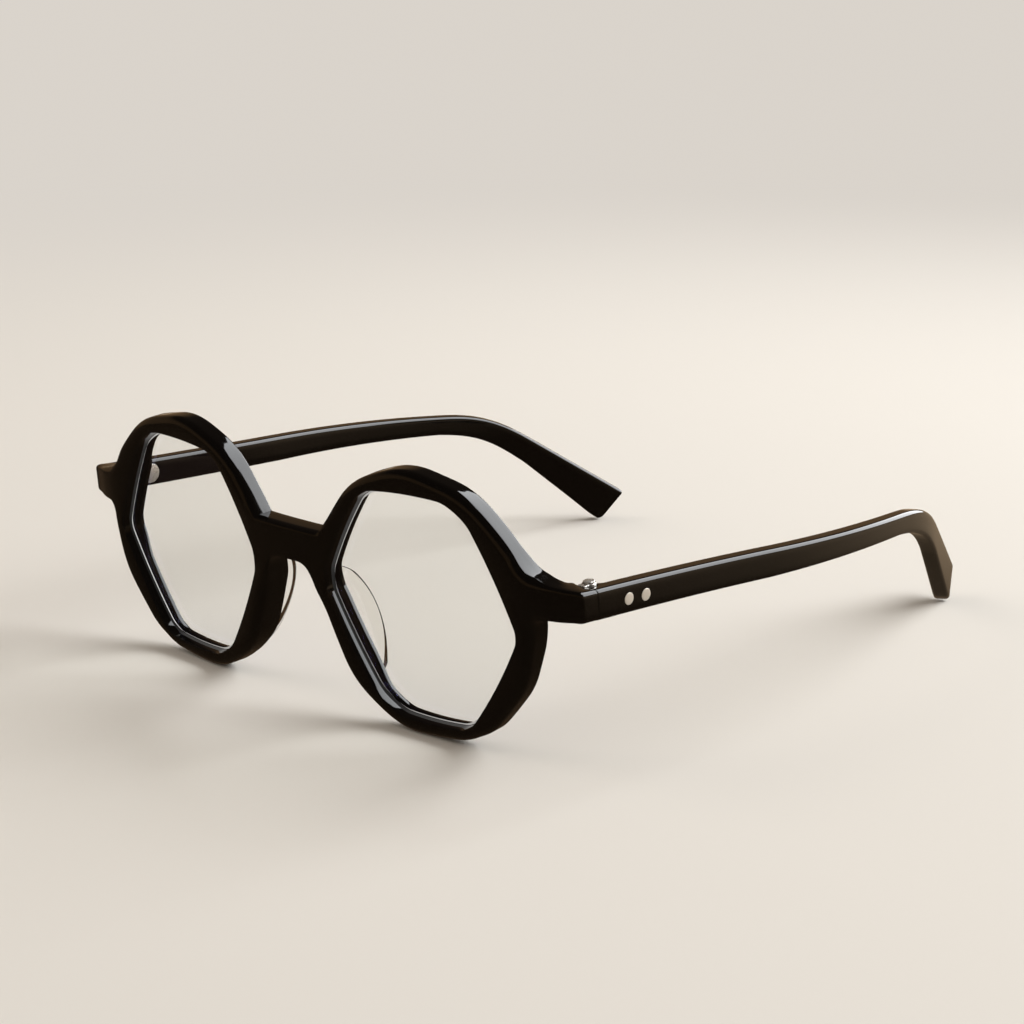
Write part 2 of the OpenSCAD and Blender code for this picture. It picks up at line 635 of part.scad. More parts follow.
standing() front_frame();
standing() lens();  // lens_left
standing() mirrored() lens();  // lens_right
standing() nose_pad();  // nose_pad_left
standing() mirrored() nose_pad();  // nose_pad_right
standing() color(nickel) front_leaf();  // front_leaf_left
standing() mirrored() color(nickel) front_leaf();  // front_leaf_right
standing() color(nickel) hinge_screw();  // hinge_screw_left
standing() mirrored() color(nickel) hinge_screw();  // hinge_screw_right
standing() temple();  // temple_left
standing() mirrored() temple();  // temple_right
standing() temple_leaf();  // temple_leaf_left
standing() mirrored() temple_leaf();  // temple_leaf_right
standing() front_rivet();  // front_rivet_left
standing() mirrored() front_rivet();  // front_rivet_right
standing() rear_rivet();  // rear_rivet_left
standing() mirrored() rear_rivet();  // rear_rivet_right
standing() core_wire();  // core_wire_left
standing() mirrored() core_wire();  // core_wire_right
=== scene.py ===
import math

import bmesh
import bpy
import numpy as np
from mathutils import Matrix, Vector, geometry


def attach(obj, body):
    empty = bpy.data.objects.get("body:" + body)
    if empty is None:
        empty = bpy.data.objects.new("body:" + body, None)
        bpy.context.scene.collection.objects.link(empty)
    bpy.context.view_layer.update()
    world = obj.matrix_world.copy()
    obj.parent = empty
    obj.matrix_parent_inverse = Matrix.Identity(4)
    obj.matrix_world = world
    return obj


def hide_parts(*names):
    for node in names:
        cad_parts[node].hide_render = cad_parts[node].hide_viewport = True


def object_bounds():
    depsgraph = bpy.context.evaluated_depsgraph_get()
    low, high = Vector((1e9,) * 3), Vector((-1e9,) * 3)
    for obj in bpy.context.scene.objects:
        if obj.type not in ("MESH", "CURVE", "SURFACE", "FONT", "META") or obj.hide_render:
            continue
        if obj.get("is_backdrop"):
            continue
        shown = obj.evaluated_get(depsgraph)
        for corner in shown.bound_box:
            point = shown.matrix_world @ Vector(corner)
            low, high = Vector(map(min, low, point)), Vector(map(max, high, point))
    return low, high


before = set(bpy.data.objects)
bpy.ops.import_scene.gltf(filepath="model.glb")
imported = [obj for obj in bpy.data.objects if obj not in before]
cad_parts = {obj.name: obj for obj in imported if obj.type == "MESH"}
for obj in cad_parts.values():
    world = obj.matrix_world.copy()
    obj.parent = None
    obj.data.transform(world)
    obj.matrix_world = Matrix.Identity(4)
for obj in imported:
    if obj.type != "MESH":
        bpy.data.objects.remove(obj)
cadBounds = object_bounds()
scene = bpy.context.scene
print("frame loaded")

# All pieces are made in millimetres with the front upright: X to the wearer's left, Y to the
# back and Z up. The glasses then lean as they stand on the table.
stance = {"lean": 5.56907, "shift": -70.441, "lift": -0.164321, "top": 50.246}


def stand(points):
    # Turned about X by the lean, moved into place, held between the table and the top, in metres
    p = np.asarray(points, float).reshape(-1, 3)
    a = math.radians(stance["lean"])
    c, s = math.cos(a), math.sin(a)
    y = p[:, 1] * c - p[:, 2] * s + stance["shift"]
    z = np.clip(p[:, 1] * s + p[:, 2] * c + stance["lift"], 0, stance["top"])
    return np.column_stack([p[:, 0], y, z]) * 0.001


def smoothStep(t):
    # tt(3 - 2t), held between 0 and 1
    t = np.clip(t, 0, 1)
    return t * t * (3 - 2 * t)


def ramp(v, start, over):
    # 0 up to start, then a smooth rise to 1
    return smoothStep((np.asarray(v, float) - start) / over)


def between(v, start, rise, stop, fall):
    # A smooth rise from start and a smooth fall that ends at stop
    return ramp(v, start, rise) * ramp(-v, -stop, fall)


def blend(a, b, t):
    # The share t of the way from a to b
    return a + (b - a) * t


def unit(v):
    v = np.asarray(v, float)
    return v / np.linalg.norm(v)


def lengthAlong(points):
    # Distance of each point from the first, along the line through them
    return np.concatenate([[0], np.cumsum(np.linalg.norm(np.diff(points, axis=0), axis=1))])


def bezier(p0, p1, p2, p3, t):
    # A cubic curve from p0 to p3, pulled towards p1 and p2
    t = t[:, None]
    return (1 - t) ** 3 * p0 + 3 * t * (1 - t) ** 2 * p1 + 3 * t * t * (1 - t) * p2 + t ** 3 * p3


def cornerCurve(a, corner, b, weight, steps):
    # A quadratic curve from a to b, drawn towards the corner by the weight
    t = np.linspace(0, 1, steps + 1)[:, None]
    k0, k1, k2 = (1 - t) ** 2, 2 * t * (1 - t) * weight, t * t
    return (a * k0 + corner * k1 + b * k2) / (k0 + k1 + k2)


class Shell:
    # Collects the rings and faces of one piece, with a material number for each face

    def __init__(self):
        self.points, self.faces, self.kinds = [], [], []
        self.count = 0

    def add(self, points):
        points = np.asarray(points, float).reshape(-1, 3)
        self.points.append(points)
        self.count += len(points)
        return np.arange(self.count - len(points), self.count)

    def fill(self, faces, kind=0):
        self.faces.extend(faces.tolist())
        self.kinds.extend([kind] * len(faces))

    def strips(self, rings, marked=()):
        # Quads between each ring and the next; marked rows take the second material
        made = [self.add(r) for r in rings]
        for i, (a, b) in enumerate(zip(made, made[1:])):
            self.fill(np.column_stack([a, np.roll(a, -1), np.roll(b, -1), b]), int(i in marked))
        return made

    def cap(self, ring, centre):
        middle = np.full(len(ring), self.add(centre)[0])
        self.fill(np.column_stack([ring, np.roll(ring, -1), middle]))

    def loft(self, rings):
        made = self.strips(rings)
        self.cap(made[0], np.mean(rings[0], axis=0))
        self.cap(made[-1], np.mean(rings[-1], axis=0))

    def mirrored(self):
        other = Shell()
        other.points = [p * [-1, 1, 1] for p in self.points]
        other.faces = [f[::-1] for f in self.faces]
        other.kinds = list(self.kinds)
        other.count = self.count
        return other


def makePiece(name, shell, materials, body, nodes, sharp):
    # One closed mesh, smooth but for edges sharper than sharp degrees
    mesh = bpy.data.meshes.new(name)
    mesh.from_pydata(stand(np.vstack(shell.points)).tolist(), [], shell.faces)
    for m in materials:
        mesh.materials.append(m)
    mesh.polygons.foreach_set("material_index", np.array(shell.kinds, np.int32))
    bm = bmesh.new()
    bm.from_mesh(mesh)
    bmesh.ops.remove_doubles(bm, verts=bm.verts, dist=1e-7)
    bmesh.ops.recalc_face_normals(bm, faces=bm.faces)
    bm.to_mesh(mesh)
    bm.free()
    mesh.shade_smooth()
    mesh.set_sharp_from_angle(angle=math.radians(sharp))
    mesh.update()
    piece = bpy.data.objects.new(name, mesh)
    scene.collection.objects.link(piece)
    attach(piece, body)
    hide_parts(*nodes)


def bothSides(name, shell, materials, rides, node, sharp):
    # The piece as made on the wearer's left, and its mirror image on the right
    for side, made in (("left", shell), ("right", shell.mirrored())):
        body = "front" if rides == "front" else side + "_temple"
        makePiece(name + side.capitalize(), made, materials, body, [node + "_" + side], sharp)


# Materials, all made of nodes on object coordinates
def setInputs(tree, node, values):
    # Values that are outputs are linked, and the others are set
    for socket, value in values.items():
        if isinstance(value, bpy.types.NodeSocket):
            tree.links.new(value, node.inputs[socket])
        else:
            node.inputs[socket].default_value = value


def addNode(tree, kind, output, values=None, **settings):
    # The named output of a new node
    node = tree.nodes.new("ShaderNode" + kind)
    for name, value in settings.items():
        setattr(node, name, value)
    setInputs(tree, node, values or {})
    return node.outputs[output]


def newMaterial(name, colour, opacity=1):
    m = bpy.data.materials.new(name)
    m.use_nodes = True
    m.diffuse_color = (*colour, opacity)
    return m, m.node_tree


def plainShader(tree, colour, roughness, metallic=0.0, ior=1.5):
    b = tree.nodes["Principled BSDF"]
    setInputs(tree, b, {"Base Color": (*colour, 1), "Roughness": roughness, "Metallic": metallic, "IOR": ior})
    return b


def objectNoise(tree, scale, detail, stretch=(1, 1, 1)):
    place = addNode(tree, "TexCoord", "Object")
    place = addNode(tree, "Mapping", "Vector", {"Vector": place, "Scale": stretch})
    return addNode(tree, "TexNoise", "Fac", {"Vector": place, "Scale": scale, "Detail": detail})


def spread(tree, source, low, high, start=0.0, stop=1.0, **settings):
    # The source's range from start to stop becomes the one from low to high
    limits = {"Value": source, "From Min": start, "From Max": stop, "To Min": low, "To Max": high}
    return addNode(tree, "MapRange", "Result", limits, **settings)


def bumped(tree, height, strength, distance):
    return addNode(tree, "Bump", "Normal", {"Height": height, "Strength": strength, "Distance": distance})


def mixShaders(tree, share, first, second):
    return addNode(tree, "MixShader", "Shader", {0: share, 1: first, 2: second})


def mixColours(tree, share, first, second):
    return addNode(tree, "Mix", "Result", {"Factor": share, "A": first, "B": second}, data_type="RGBA")


def showShader(tree, shader, node="Material Output"):
    tree.links.new(shader, tree.nodes[node].inputs["Surface"])


polish = {"colour": (0.0022, 0.0018, 0.0015), "rough": 0.05, "ior": 1.49, "haze": (0.035, 0.075),
          "hazeScale": 900, "waveScale": 90, "waveStrength": 0.05, "waveHigh": 0.0002}


def acetateMaterial(name):
    # Polished black plastic, with a fine haze and slow waves left by the polishing wheel
    m, tree = newMaterial(name, polish["colour"])
    b = plainShader(tree, polish["colour"], polish["rough"], ior=polish["ior"])
    haze = spread(tree, objectNoise(tree, polish["hazeScale"], 2), *polish["haze"])
    waves = bumped(tree, objectNoise(tree, polish["waveScale"], 1), polish["waveStrength"], polish["waveHigh"])
    setInputs(tree, b, {"Roughness": haze, "Normal": waves})
    return m


grain = {"scale": 3500, "stretch": (1, 1, 3), "smoother": 0.07, "rougher": 0.1, "strength": 0.12, "high": 0.00005}


def metalMaterial(name, colour, roughness, metallic):
    # Satin metal, its roughness varied by a fine grain
    m, tree = newMaterial(name, colour)
    b = plainShader(tree, colour, roughness, metallic)
    fine = objectNoise(tree, grain["scale"], 3, grain["stretch"])
    rough = spread(tree, fine, roughness - grain["smoother"], roughness + grain["rougher"])
    setInputs(tree, b, {"Roughness": rough, "Normal": bumped(tree, fine, grain["strength"], grain["high"])})
    return m


coat = {"clear": (0.985, 0.99, 0.985, 1), "tint": (0.5, 0.48, 0.85, 1), "rough": 0.02,
        "blend": 0.25, "share": (0.03, 0.12)}


def lensMaterial(name):
    # Clear glass with a thin coat that reflects violet-blue, more at a slant
    m, tree = newMaterial(name, (0.8, 0.82, 0.9), 0.25)
    tree.nodes.remove(tree.nodes["Principled BSDF"])
    clear = addNode(tree, "BsdfTransparent", "BSDF", {"Color": coat["clear"]})
    gloss = addNode(tree, "BsdfGlossy", "BSDF", {"Color": coat["tint"], "Roughness": coat["rough"]})
    slant = addNode(tree, "LayerWeight", "Facing", {"Blend": coat["blend"]})
    showShader(tree, mixShaders(tree, spread(tree, slant, *coat["share"]), clear, gloss))
    return m


# rim is the colour of the painted shade where the surface turns away
crystalLook = {"rim": (0.06, 0.045, 0.035, 1), "blend": 0.35, "gloss": 0.01, "haze": (0.05, 0.12), "hazeScale": 700}


def crystalMaterial(name, through, falling):
    # Clear plastic: seen through, with painted shade that darkens it where the surface turns away, and a faint gloss
    look = crystalLook
    m, tree = newMaterial(name, (0.9, 0.9, 0.88), 0.3)
    tree.nodes.remove(tree.nodes["Principled BSDF"])
    clear = addNode(tree, "BsdfTransparent", "BSDF", {"Color": (*through, 1)})
    rim = addNode(tree, "BsdfTransparent", "BSDF", {"Color": look["rim"]})
    haze = spread(tree, objectNoise(tree, look["hazeScale"], 2), *look["haze"])
    gloss = addNode(tree, "BsdfGlossy", "BSDF", {"Color": (1, 1, 1, 1), "Roughness": haze})
    facing = addNode(tree, "LayerWeight", "Facing", {"Blend": look["blend"]})
    paintedEdgeShade = addNode(tree, "Math", "Value", {0: facing, 1: falling}, operation="POWER")
    showShader(tree, mixShaders(tree, look["gloss"], mixShaders(tree, paintedEdgeShade, clear, rim), gloss))
    return m


# glow and strength set the painted glow of the lens edge, an emission in place of light
frost = {"colour": (0.3, 0.3, 0.3), "rough": 0.5, "glow": (1.0, 0.97, 0.93, 1), "strength": 0.38}


def frostedEdgePaintedGlowMaterial(name):
    # The ground edge of a lens, with a painted glow: emission that stands in for the light that the glass carries to
    # it
    m, tree = newMaterial(name, frost["colour"])
    b = plainShader(tree, frost["colour"], frost["rough"])
    setInputs(tree, b, {"Emission Color": frost["glow"], "Emission Strength": frost["strength"]})
    return m


acetate = acetateMaterial("acetate")
nickel = metalMaterial("satinNickel", (0.78, 0.75, 0.70), 0.26, 0.75)
pale = metalMaterial("satinRivet", (0.74, 0.68, 0.59), 0.38, 0.45)
wire = metalMaterial("drawnWire", (0.6, 0.58, 0.54), 0.35, 1.0)
clearLens = lensMaterial("coatedLens")
frosted = frostedEdgePaintedGlowMaterial("frostedLensEdgePaintedGlow")
crystal = crystalMaterial("crystalAcetate", (0.985, 0.98, 0.97), 4.5)
# The pads' rear edge, seen through as a dark brown: painted shade
crystalPaintedEdgeShade = crystalMaterial("crystalPaintedEdgeShade", (0.08, 0.05, 0.03), 2.4)
print("materials made")

# Outlines
drawing = {"arcSteps": 26, "sideSteps": 20, "sideShare": 0.48, "swellReach": 3, "spacing": 0.42, "straight": 0.5}


def outline(corners, radii, swell):
    # Straight sides between corners, each corner a curve of its radius. A side swells outwards by
    # 4t(1 - t) of the swell along it, and less away from it, as a bell curve does
    c = np.array(corners, float)
    n = len(c)
    arcs = []
    for i in range(n):
        before, corner, after = c[i - 1], c[i], c[(i + 1) % n]
        u, v = unit(before - corner), unit(after - corner)
        half = math.acos(u @ v) / 2
        longest = drawing["sideShare"] * min(np.linalg.norm(before - corner), np.linalg.norm(after - corner))
        cut = min(radii[i] / math.tan(half), longest)
        arcs.append(cornerCurve(corner + u * cut, corner, corner + v * cut, math.sin(half), drawing["arcSteps"]))
    k = np.arange(1, drawing["sideSteps"] + 1)[:, None]
    parts = []
    for i in range(n):
        a, b = arcs[i][-1], arcs[(i + 1) % n][0]
        parts += [arcs[i], a + (b - a) * k / (len(k) + 1)]
    p = np.vstack(parts)
    moved = p.copy()
    for i in range(n):
        a, b = c[i], c[(i + 1) % n]
        length = np.linalg.norm(b - a)
        d = (b - a) / length
        out = np.array([-d[1], d[0]])
        t = np.clip((p - a) @ d / length, 0, 1)
        far = (p - a) @ out / drawing["swellReach"]
        moved += out * (swell * 4 * t * (1 - t) * np.exp(-far * far))[:, None]
    return moved


def resample(points, spacing, closed=False):
    # Points at even distances along a line
    p = np.vstack([points, points[:1]]) if closed else np.asarray(points)
    along = lengthAlong(p)
    s = np.linspace(0, along[-1], max(2, int(round(along[-1] / spacing))) + 1)
    made = np.column_stack([np.interp(s, along, p[:, k]) for k in range(p.shape[1])])
    return made[:-1] if closed else made


def outwards(p):
    # Mitre normals of a closed clockwise outline
    side = np.roll(p, -1, axis=0) - p
    after = np.column_stack([-side[:, 1], side[:, 0]]) / np.linalg.norm(side, axis=1)[:, None]
    before = np.roll(after, 1, axis=0)
    return (before + after) / (1 + (before * after).sum(1))[:, None]


# Front: the corners go round from the nose corner, over the top. The roots are where the back
# swells: start, rise, stop and fall along X and along Z
front = {
    "wrap": 4.1, "wrapX": 9.0, "bridgeFlat": 0.066, "thick": 4.45, "middle": 32, "noseSide": 15,
    "opening": [(9.4, 25.9), (20.5, 44.8), (43.4, 45.3), (55.0, 23.5), (42.3, 3.5), (22.4, 3.5)],
    "openingRadii": [5.5, 5, 7.9, 3, 4.4, 8.4],
    "rim": [(4.9, 29.5), (22.5, 51.6), (52.4, 45.5), (60.1, 20.2), (44.6, 1.2), (17.7, 0)],
    "rimRadii": [11, 20, 21, 21, 13, 18], "swell": 0.7,
    "bevelWide": 1.9, "bevelDeep": 1.65, "bevelSteps": 10, "walls": (0.33, 0.66), "backRound": 0.4, "backSteps": 6,
    "innerRound": 0.45, "innerWide": 0.28, "innerDeep": 2.25, "innerSteps": 14,
    "bridgeTop": 35.0, "bridgeUnder": 28.2, "bridgeBevelWide": 0.8, "bridgeBevelDeep": 1.5, "underRound": 0.5,
    "archFrom": 2.4, "archTo": 23.2, "archPull": (3.1, 2.9), "archSteps": 60,
    "bevelRise": 5.0, "bevelPast": 1.0, "bevelFall": 6.0, "underBefore": 5, "underOver": 8,
    "grooveAt": 2.7, "grooveFrom": 2.3, "rearLip": 0.95, "grooveDeep": 0.8, "grooveHalf": 0.08,
    "lipBreak": (0.04, 0.03),
    "padRoot": 1.6, "padRootX": (4.2, 2.3, 26, 6), "padRootZ": (4, 8, 29.5, 8),
    "endRoot": 0.8, "endRootX": (44, 5), "endRootZ": (16, 6, 40, 5),
}


def swelling(p, share):
    # How far the back swells: a share of the nose pad's root, and all of the end piece's
    x, z = np.abs(p[:, 0]), p[:, 1]
    nose = front["padRoot"] * between(z, *front["padRootZ"]) * between(x, *front["padRootX"])
    return nose * share + front["endRoot"] * between(z, *front["endRootZ"]) * ramp(x, *front["endRootX"])


def wrapped(av, w):
    # A point of the flat outline at depth w, bent back: the angle grows evenly up to wrapX and then
    # stays, so the bridge is a parabola, made a little flatter in its middle
    a, v = av[:, 0], av[:, 1]
    w = np.broadcast_to(w, a.shape)
    angle, edge = math.radians(front["wrap"]), front["wrapX"]
    side = np.sign(a) + (a == 0)
    r = np.abs(a)
    inner = r < edge
    turn = np.where(inner, angle * r / edge, angle)
    past = np.maximum(r - edge, 0)
    bridge = -math.tan(angle) * (edge * edge - r * r) / (2 * edge) + front["bridgeFlat"] * (1 - (r / edge) ** 2) ** 2
    x = np.where(inner, r, edge + past * math.cos(angle)) - w * np.sin(turn)
    y = np.where(inner, bridge, past * math.sin(angle)) + w * np.cos(turn)
    return np.column_stack([x * side, y, v])


def curved(points, steps):
    # A smooth curve through control points, with the same number of steps between each two
    p = np.asarray(points, float)
    p = np.vstack([2 * p[0] - p[1], p, 2 * p[-1] - p[-2]])
    t = np.linspace(0, 1, steps, endpoint=False)[:, None]
    made = []
    for a, b, c, d in zip(p, p[1:], p[2:], p[3:]):
        bend, twist = 2 * a - 5 * b + 4 * c - d, 3 * b - a - 3 * c + d
        made.append(0.5 * (2 * b + (c - a) * t + bend * t * t + twist * t ** 3))
    return np.vstack(made + [p[-2:-1]])


# The end piece goes on from the rim, turns back at the corner and stops at the joint. Each row is a
# place along it: X and Y of the face, X and Y of the back, height of the upper and the lower edge
endPiece = {
    "x": 67.2, "joint": 11.2, "cornerY": 7.2, "top": 33.2,
    "rootAt": (53.5, 56.0), "rootTop": 35.6, "rootLow": 27.0, "over": 3.0, "spanZ": (19, 6, 42.5, 6),
    "outerX": 45, "leave": 37.8, "back": 25.6, "bevelWide": 0.85, "bevelDeep": 0.8, "bevelX": 57.6, "bevelOver": 6,
    "rowSteps": 24, "firstRow": 2, "cornerRow": 5, "sideSteps": 18, "turnSteps": 24, "lastStep": 0.15,
    "lowFrom": 3, "edgeSteps": 12, "trimTop": 0.09, "trimLow": 0.05,
    "rows": [
        (58.2, 3.78, 57.9, 8.72, 35.0, 27.2), (61.0, 4.66, 59.8, 9.05, 34.15, 27.5),
        (63.6, 5.82, 61.0, 9.62, 33.55, 27.45), (65.5, 6.72, 61.4, 10.08, 33.3, 27.45),
        (66.7, 7.14, 61.58, 10.45, 33.2, 27.45), (67.14, 7.52, 61.7, 10.75, 33.14, 27.45),
        (67.2, 8.3, 61.8, 10.95, 33.05, 27.38), (67.2, 9.8, 61.8, 11.08, 32.85, 27.2),
        (67.2, 11.2, 61.8, 11.2, 32.67, 27.02),
    ],
}


def rootRow(a):
    # A row on the plate itself, where the end piece leaves it
    face, back = (wrapped(np.array([[a, 0.0]]), w)[0][:2] for w in (0.0, front["thick"] + front["endRoot"]))
    return (*face, *back, endPiece["rootTop"], endPiece["rootLow"])


endRows = curved([rootRow(a) for a in endPiece["rootAt"]] + endPiece["rows"], endPiece["rowSteps"])
endAlong = endPiece["rootAt"][0] + lengthAlong(endRows[:, :2])
endMarks = endAlong[::endPiece["rowSteps"]]
endCorner, endStop = endMarks[endPiece["cornerRow"]], endMarks[-1]


def placed(av, w):
    # A point of the front: on the wrapped plate, and on the end piece beyond it
    p, a, e = wrapped(av, w), np.abs(av[:, 0]), endPiece
    share = ramp(a, e["rootAt"][0], e["over"]) * between(av[:, 1], *e["spanZ"])
    q = w / (front["thick"] + swelling(av, 1))
    faceX, faceY, backX, backY = (np.interp(a, endAlong, endRows[:, k]) for k in range(4))
    there = np.column_stack([blend(faceX, backX, q) * np.sign(av[:, 0]), blend(faceY, backY, q), av[:, 1]])
    return blend(p, there, share[:, None])


rimDense = outline(front["rim"], front["rimRadii"], front["swell"])
openingDense = outline(front["opening"], front["openingRadii"], front["swell"])


def noseX(z):
    # Innermost X of the rim's outline on the nose side at a height
    p, q = rimDense, np.roll(rimDense, -1, axis=0)
    hit = (p[:, 0] < front["middle"]) & ((p[:, 1] - z) * (q[:, 1] - z) <= 0) & (p[:, 1] != q[:, 1])
    t = (z - p[hit, 1]) / (q[hit, 1] - p[hit, 1])
    return float(np.min(blend(p[hit, 0], q[hit, 0], t)))


def inside(points, loop):
    # Points from which a line to the right crosses the loop an odd number of times
    x, y = points[:, 0][:, None], points[:, 1][:, None]
    a, b = loop, np.roll(loop, -1, axis=0)
    cross = (a[:, 1] > y) != (b[:, 1] > y)
    rise = np.where(b[:, 1] == a[:, 1], 1e-9, b[:, 1] - a[:, 1])
    at = a[:, 0] + (y - a[:, 1]) / rise * (b[:, 0] - a[:, 0])
    return (cross & (x < at)).sum(1) % 2 == 1


filletShape = {"count": 12, "pull": 0.6}


def fillet(a, b, c, d):
    # A curve from b to c, which leaves along a-b and arrives along c-d
    u, v = unit(b - a), unit(c - d)
    corner = b + u * np.linalg.solve(np.column_stack([u, -v]), c - b)[0]
    t = np.linspace(0, 1, filletShape["count"] + 2)[1:-1]
    return bezier(b, blend(b, corner, filletShape["pull"]), blend(c, corner, filletShape["pull"]), c, t)


def withEnd(ring):
    # The rim's outline with the end piece's in place of its outermost side
    e = endPiece
    outer = ring[:, 0] > e["outerX"]
    first = int(np.argmax(outer & (ring[:, 1] < e["leave"])))
    last = int(np.argmax(outer & (ring[:, 1] < e["back"])))
    side = np.linspace(endMarks[e["firstRow"]], endCorner, e["sideSteps"], endpoint=False)
    stations = np.concatenate([side, np.linspace(endCorner, endStop - e["lastStep"], e["turnSteps"]), [endStop]])
    top, low = (np.column_stack([stations, np.interp(stations, endAlong, endRows[:, k])]) for k in (4, 5))
    low = low[e["lowFrom"]:]
    top[-1, 1] -= e["trimTop"]
    low[-1, 1] += e["trimLow"]
    heights = np.linspace(top[-1, 1], low[-1, 1], e["edgeSteps"] + 2)[1:-1]
    edge = np.column_stack([np.full(len(heights), endStop), heights])
    up = fillet(ring[first - 2], ring[first - 1], top[0], top[1])
    down = fillet(low[1], low[0], ring[last], ring[last + 1])
    return np.vstack([ring[:first], up, top, edge, low[::-1], down, ring[last:]])


def frontContour():
    # One outline round both rims and the bridge, with the bevel's width and depth along it
    f, p, q = front, rimDense, np.roll(rimDense, -1, axis=0)
    nose = p[:, 0] < f["noseSide"]
    top = int(np.argmax(nose & (p[:, 1] <= f["bridgeTop"]) & (f["bridgeTop"] < q[:, 1])))
    low = int(np.flatnonzero(nose & (p[:, 1] < f["archTo"]))[-1])
    cornerPoint, footPoint = (blend(p[i], q[i], (z - p[i, 1]) / (q[i, 1] - p[i, 1]))
                              for i, z in ((top, f["bridgeTop"]), (low, f["archTo"])))
    ring = np.roll(p, -top - 1, axis=0)[:(low - top) % len(p)]
    rimPart = withEnd(resample(np.vstack([[cornerPoint], ring, [footPoint]]), drawing["spacing"]))
    foot = footPoint + unit(q[low] - p[low]) * f["archPull"][0]
    crown = np.array([f["archFrom"], f["bridgeUnder"]])
    arch = bezier(footPoint, foot, crown + [f["archPull"][1], 0], crown, np.linspace(0, 1, f["archSteps"]))
    arch = resample(arch, drawing["spacing"])
    centre = resample(np.array([crown, [0, f["bridgeUnder"]]]), drawing["straight"])
    lid = resample(np.array([[0, f["bridgeTop"]], cornerPoint]), drawing["straight"])
    half = np.vstack([lid[:-1], rimPart[:-1], arch[:-1], centre])
    s = lengthAlong(half)
    sCorner, sFoot = s[len(lid) - 1], s[len(lid) + len(rimPart) - 2]
    onRim = between(s, sCorner, f["bevelRise"], sFoot + f["bevelPast"], f["bevelFall"])
    under = ramp(s, sFoot - f["underBefore"], f["underOver"])
    onEnd = ramp(half[:, 0], endPiece["bevelX"], endPiece["bevelOver"])
    sizes = []
    for size in ("Wide", "Deep"):
        bevel = blend(f["bridgeBevel" + size], f["underRound"], under)
        bevel = blend(blend(bevel, f["bevel" + size], onRim), endPiece["bevel" + size], onEnd)
        sizes.append(np.concatenate([bevel, bevel[1:-1][::-1]]))
    contour = np.vstack([half, half[1:-1][::-1] * [-1, 1]])
    normal = outwards(contour)
    joint = np.abs(contour[:, 0]) > endStop - 1e-6
    z = contour[joint, 1]
    normal[joint] = np.column_stack([np.zeros(len(z)), (z - (z.min() + z.max()) / 2) / ((z.max() - z.min()) / 2)])
    return contour, normal, *sizes


# Inner points of the flat faces, each set as start, stop and step
faceGrid = {"bridgeX": (-10.5, 10.6, 1.05), "bridgeZ": (26, 35, 1.0), "endFrom": 55.2, "endStep": 0.8, "turnStep": 0.3,
            "endZ": (22, 38, 0.8), "clear": 0.45}


def gridPoints(xs, zs):
    return np.stack(np.meshgrid(xs, zs), axis=-1).reshape(-1, 2)


def fillFace(shell, outer, outerIds, holes, depth):
    # Fills the flat face between the outer outline and the two openings
    g = faceGrid
    loops = [outer] + [loop for loop, _ in holes]
    flat = np.vstack(loops)
    edges, start = [], 0
    for loop in loops:
        i = np.arange(len(loop)) + start
        edges += np.column_stack([i, np.roll(i, -1)]).tolist()
        start += len(loop)
    columns = np.concatenate([np.arange(g["endFrom"], endCorner, g["endStep"]),
                              np.arange(endCorner, endStop - g["turnStep"], g["turnStep"])])
    bridge = gridPoints(np.arange(*g["bridgeX"]), np.arange(*g["bridgeZ"]))
    end = gridPoints(columns, np.arange(*g["endZ"]))
    grid = np.vstack([bridge, end, end * [-1, 1]])

    def onFace(points):
        return inside(points, outer) & ~np.any([inside(points, loop) for loop, _ in holes], axis=0)

    near = np.min(np.linalg.norm(grid[:, None, :] - flat[None, :, :], axis=2), axis=1)
    grid = grid[onFace(grid) & (near > g["clear"])]
    gridIds = shell.add(placed(grid, depth + (swelling(grid, 1) if depth else 0)))
    ids = np.concatenate([outerIds] + [loopIds for _, loopIds in holes] + [gridIds])
    coords = [Vector(p) for p in np.vstack([flat, grid]).tolist()]
    verts, _, faces, orig, _, _ = geometry.delaunay_2d_cdt(coords, edges, [], 0, 1e-7)
    tri = np.array(faces)
    good = onFace(np.array([v[:] for v in verts])[tri].mean(1))
    back = ids[[o[0] for o in orig]]
    shell.fill(back[tri[good]])


def quarterTurn(steps):
    # Sine and cosine from 0 to a right angle
    t = np.linspace(0, math.pi / 2, steps)
    return zip(np.sin(t), np.cos(t))


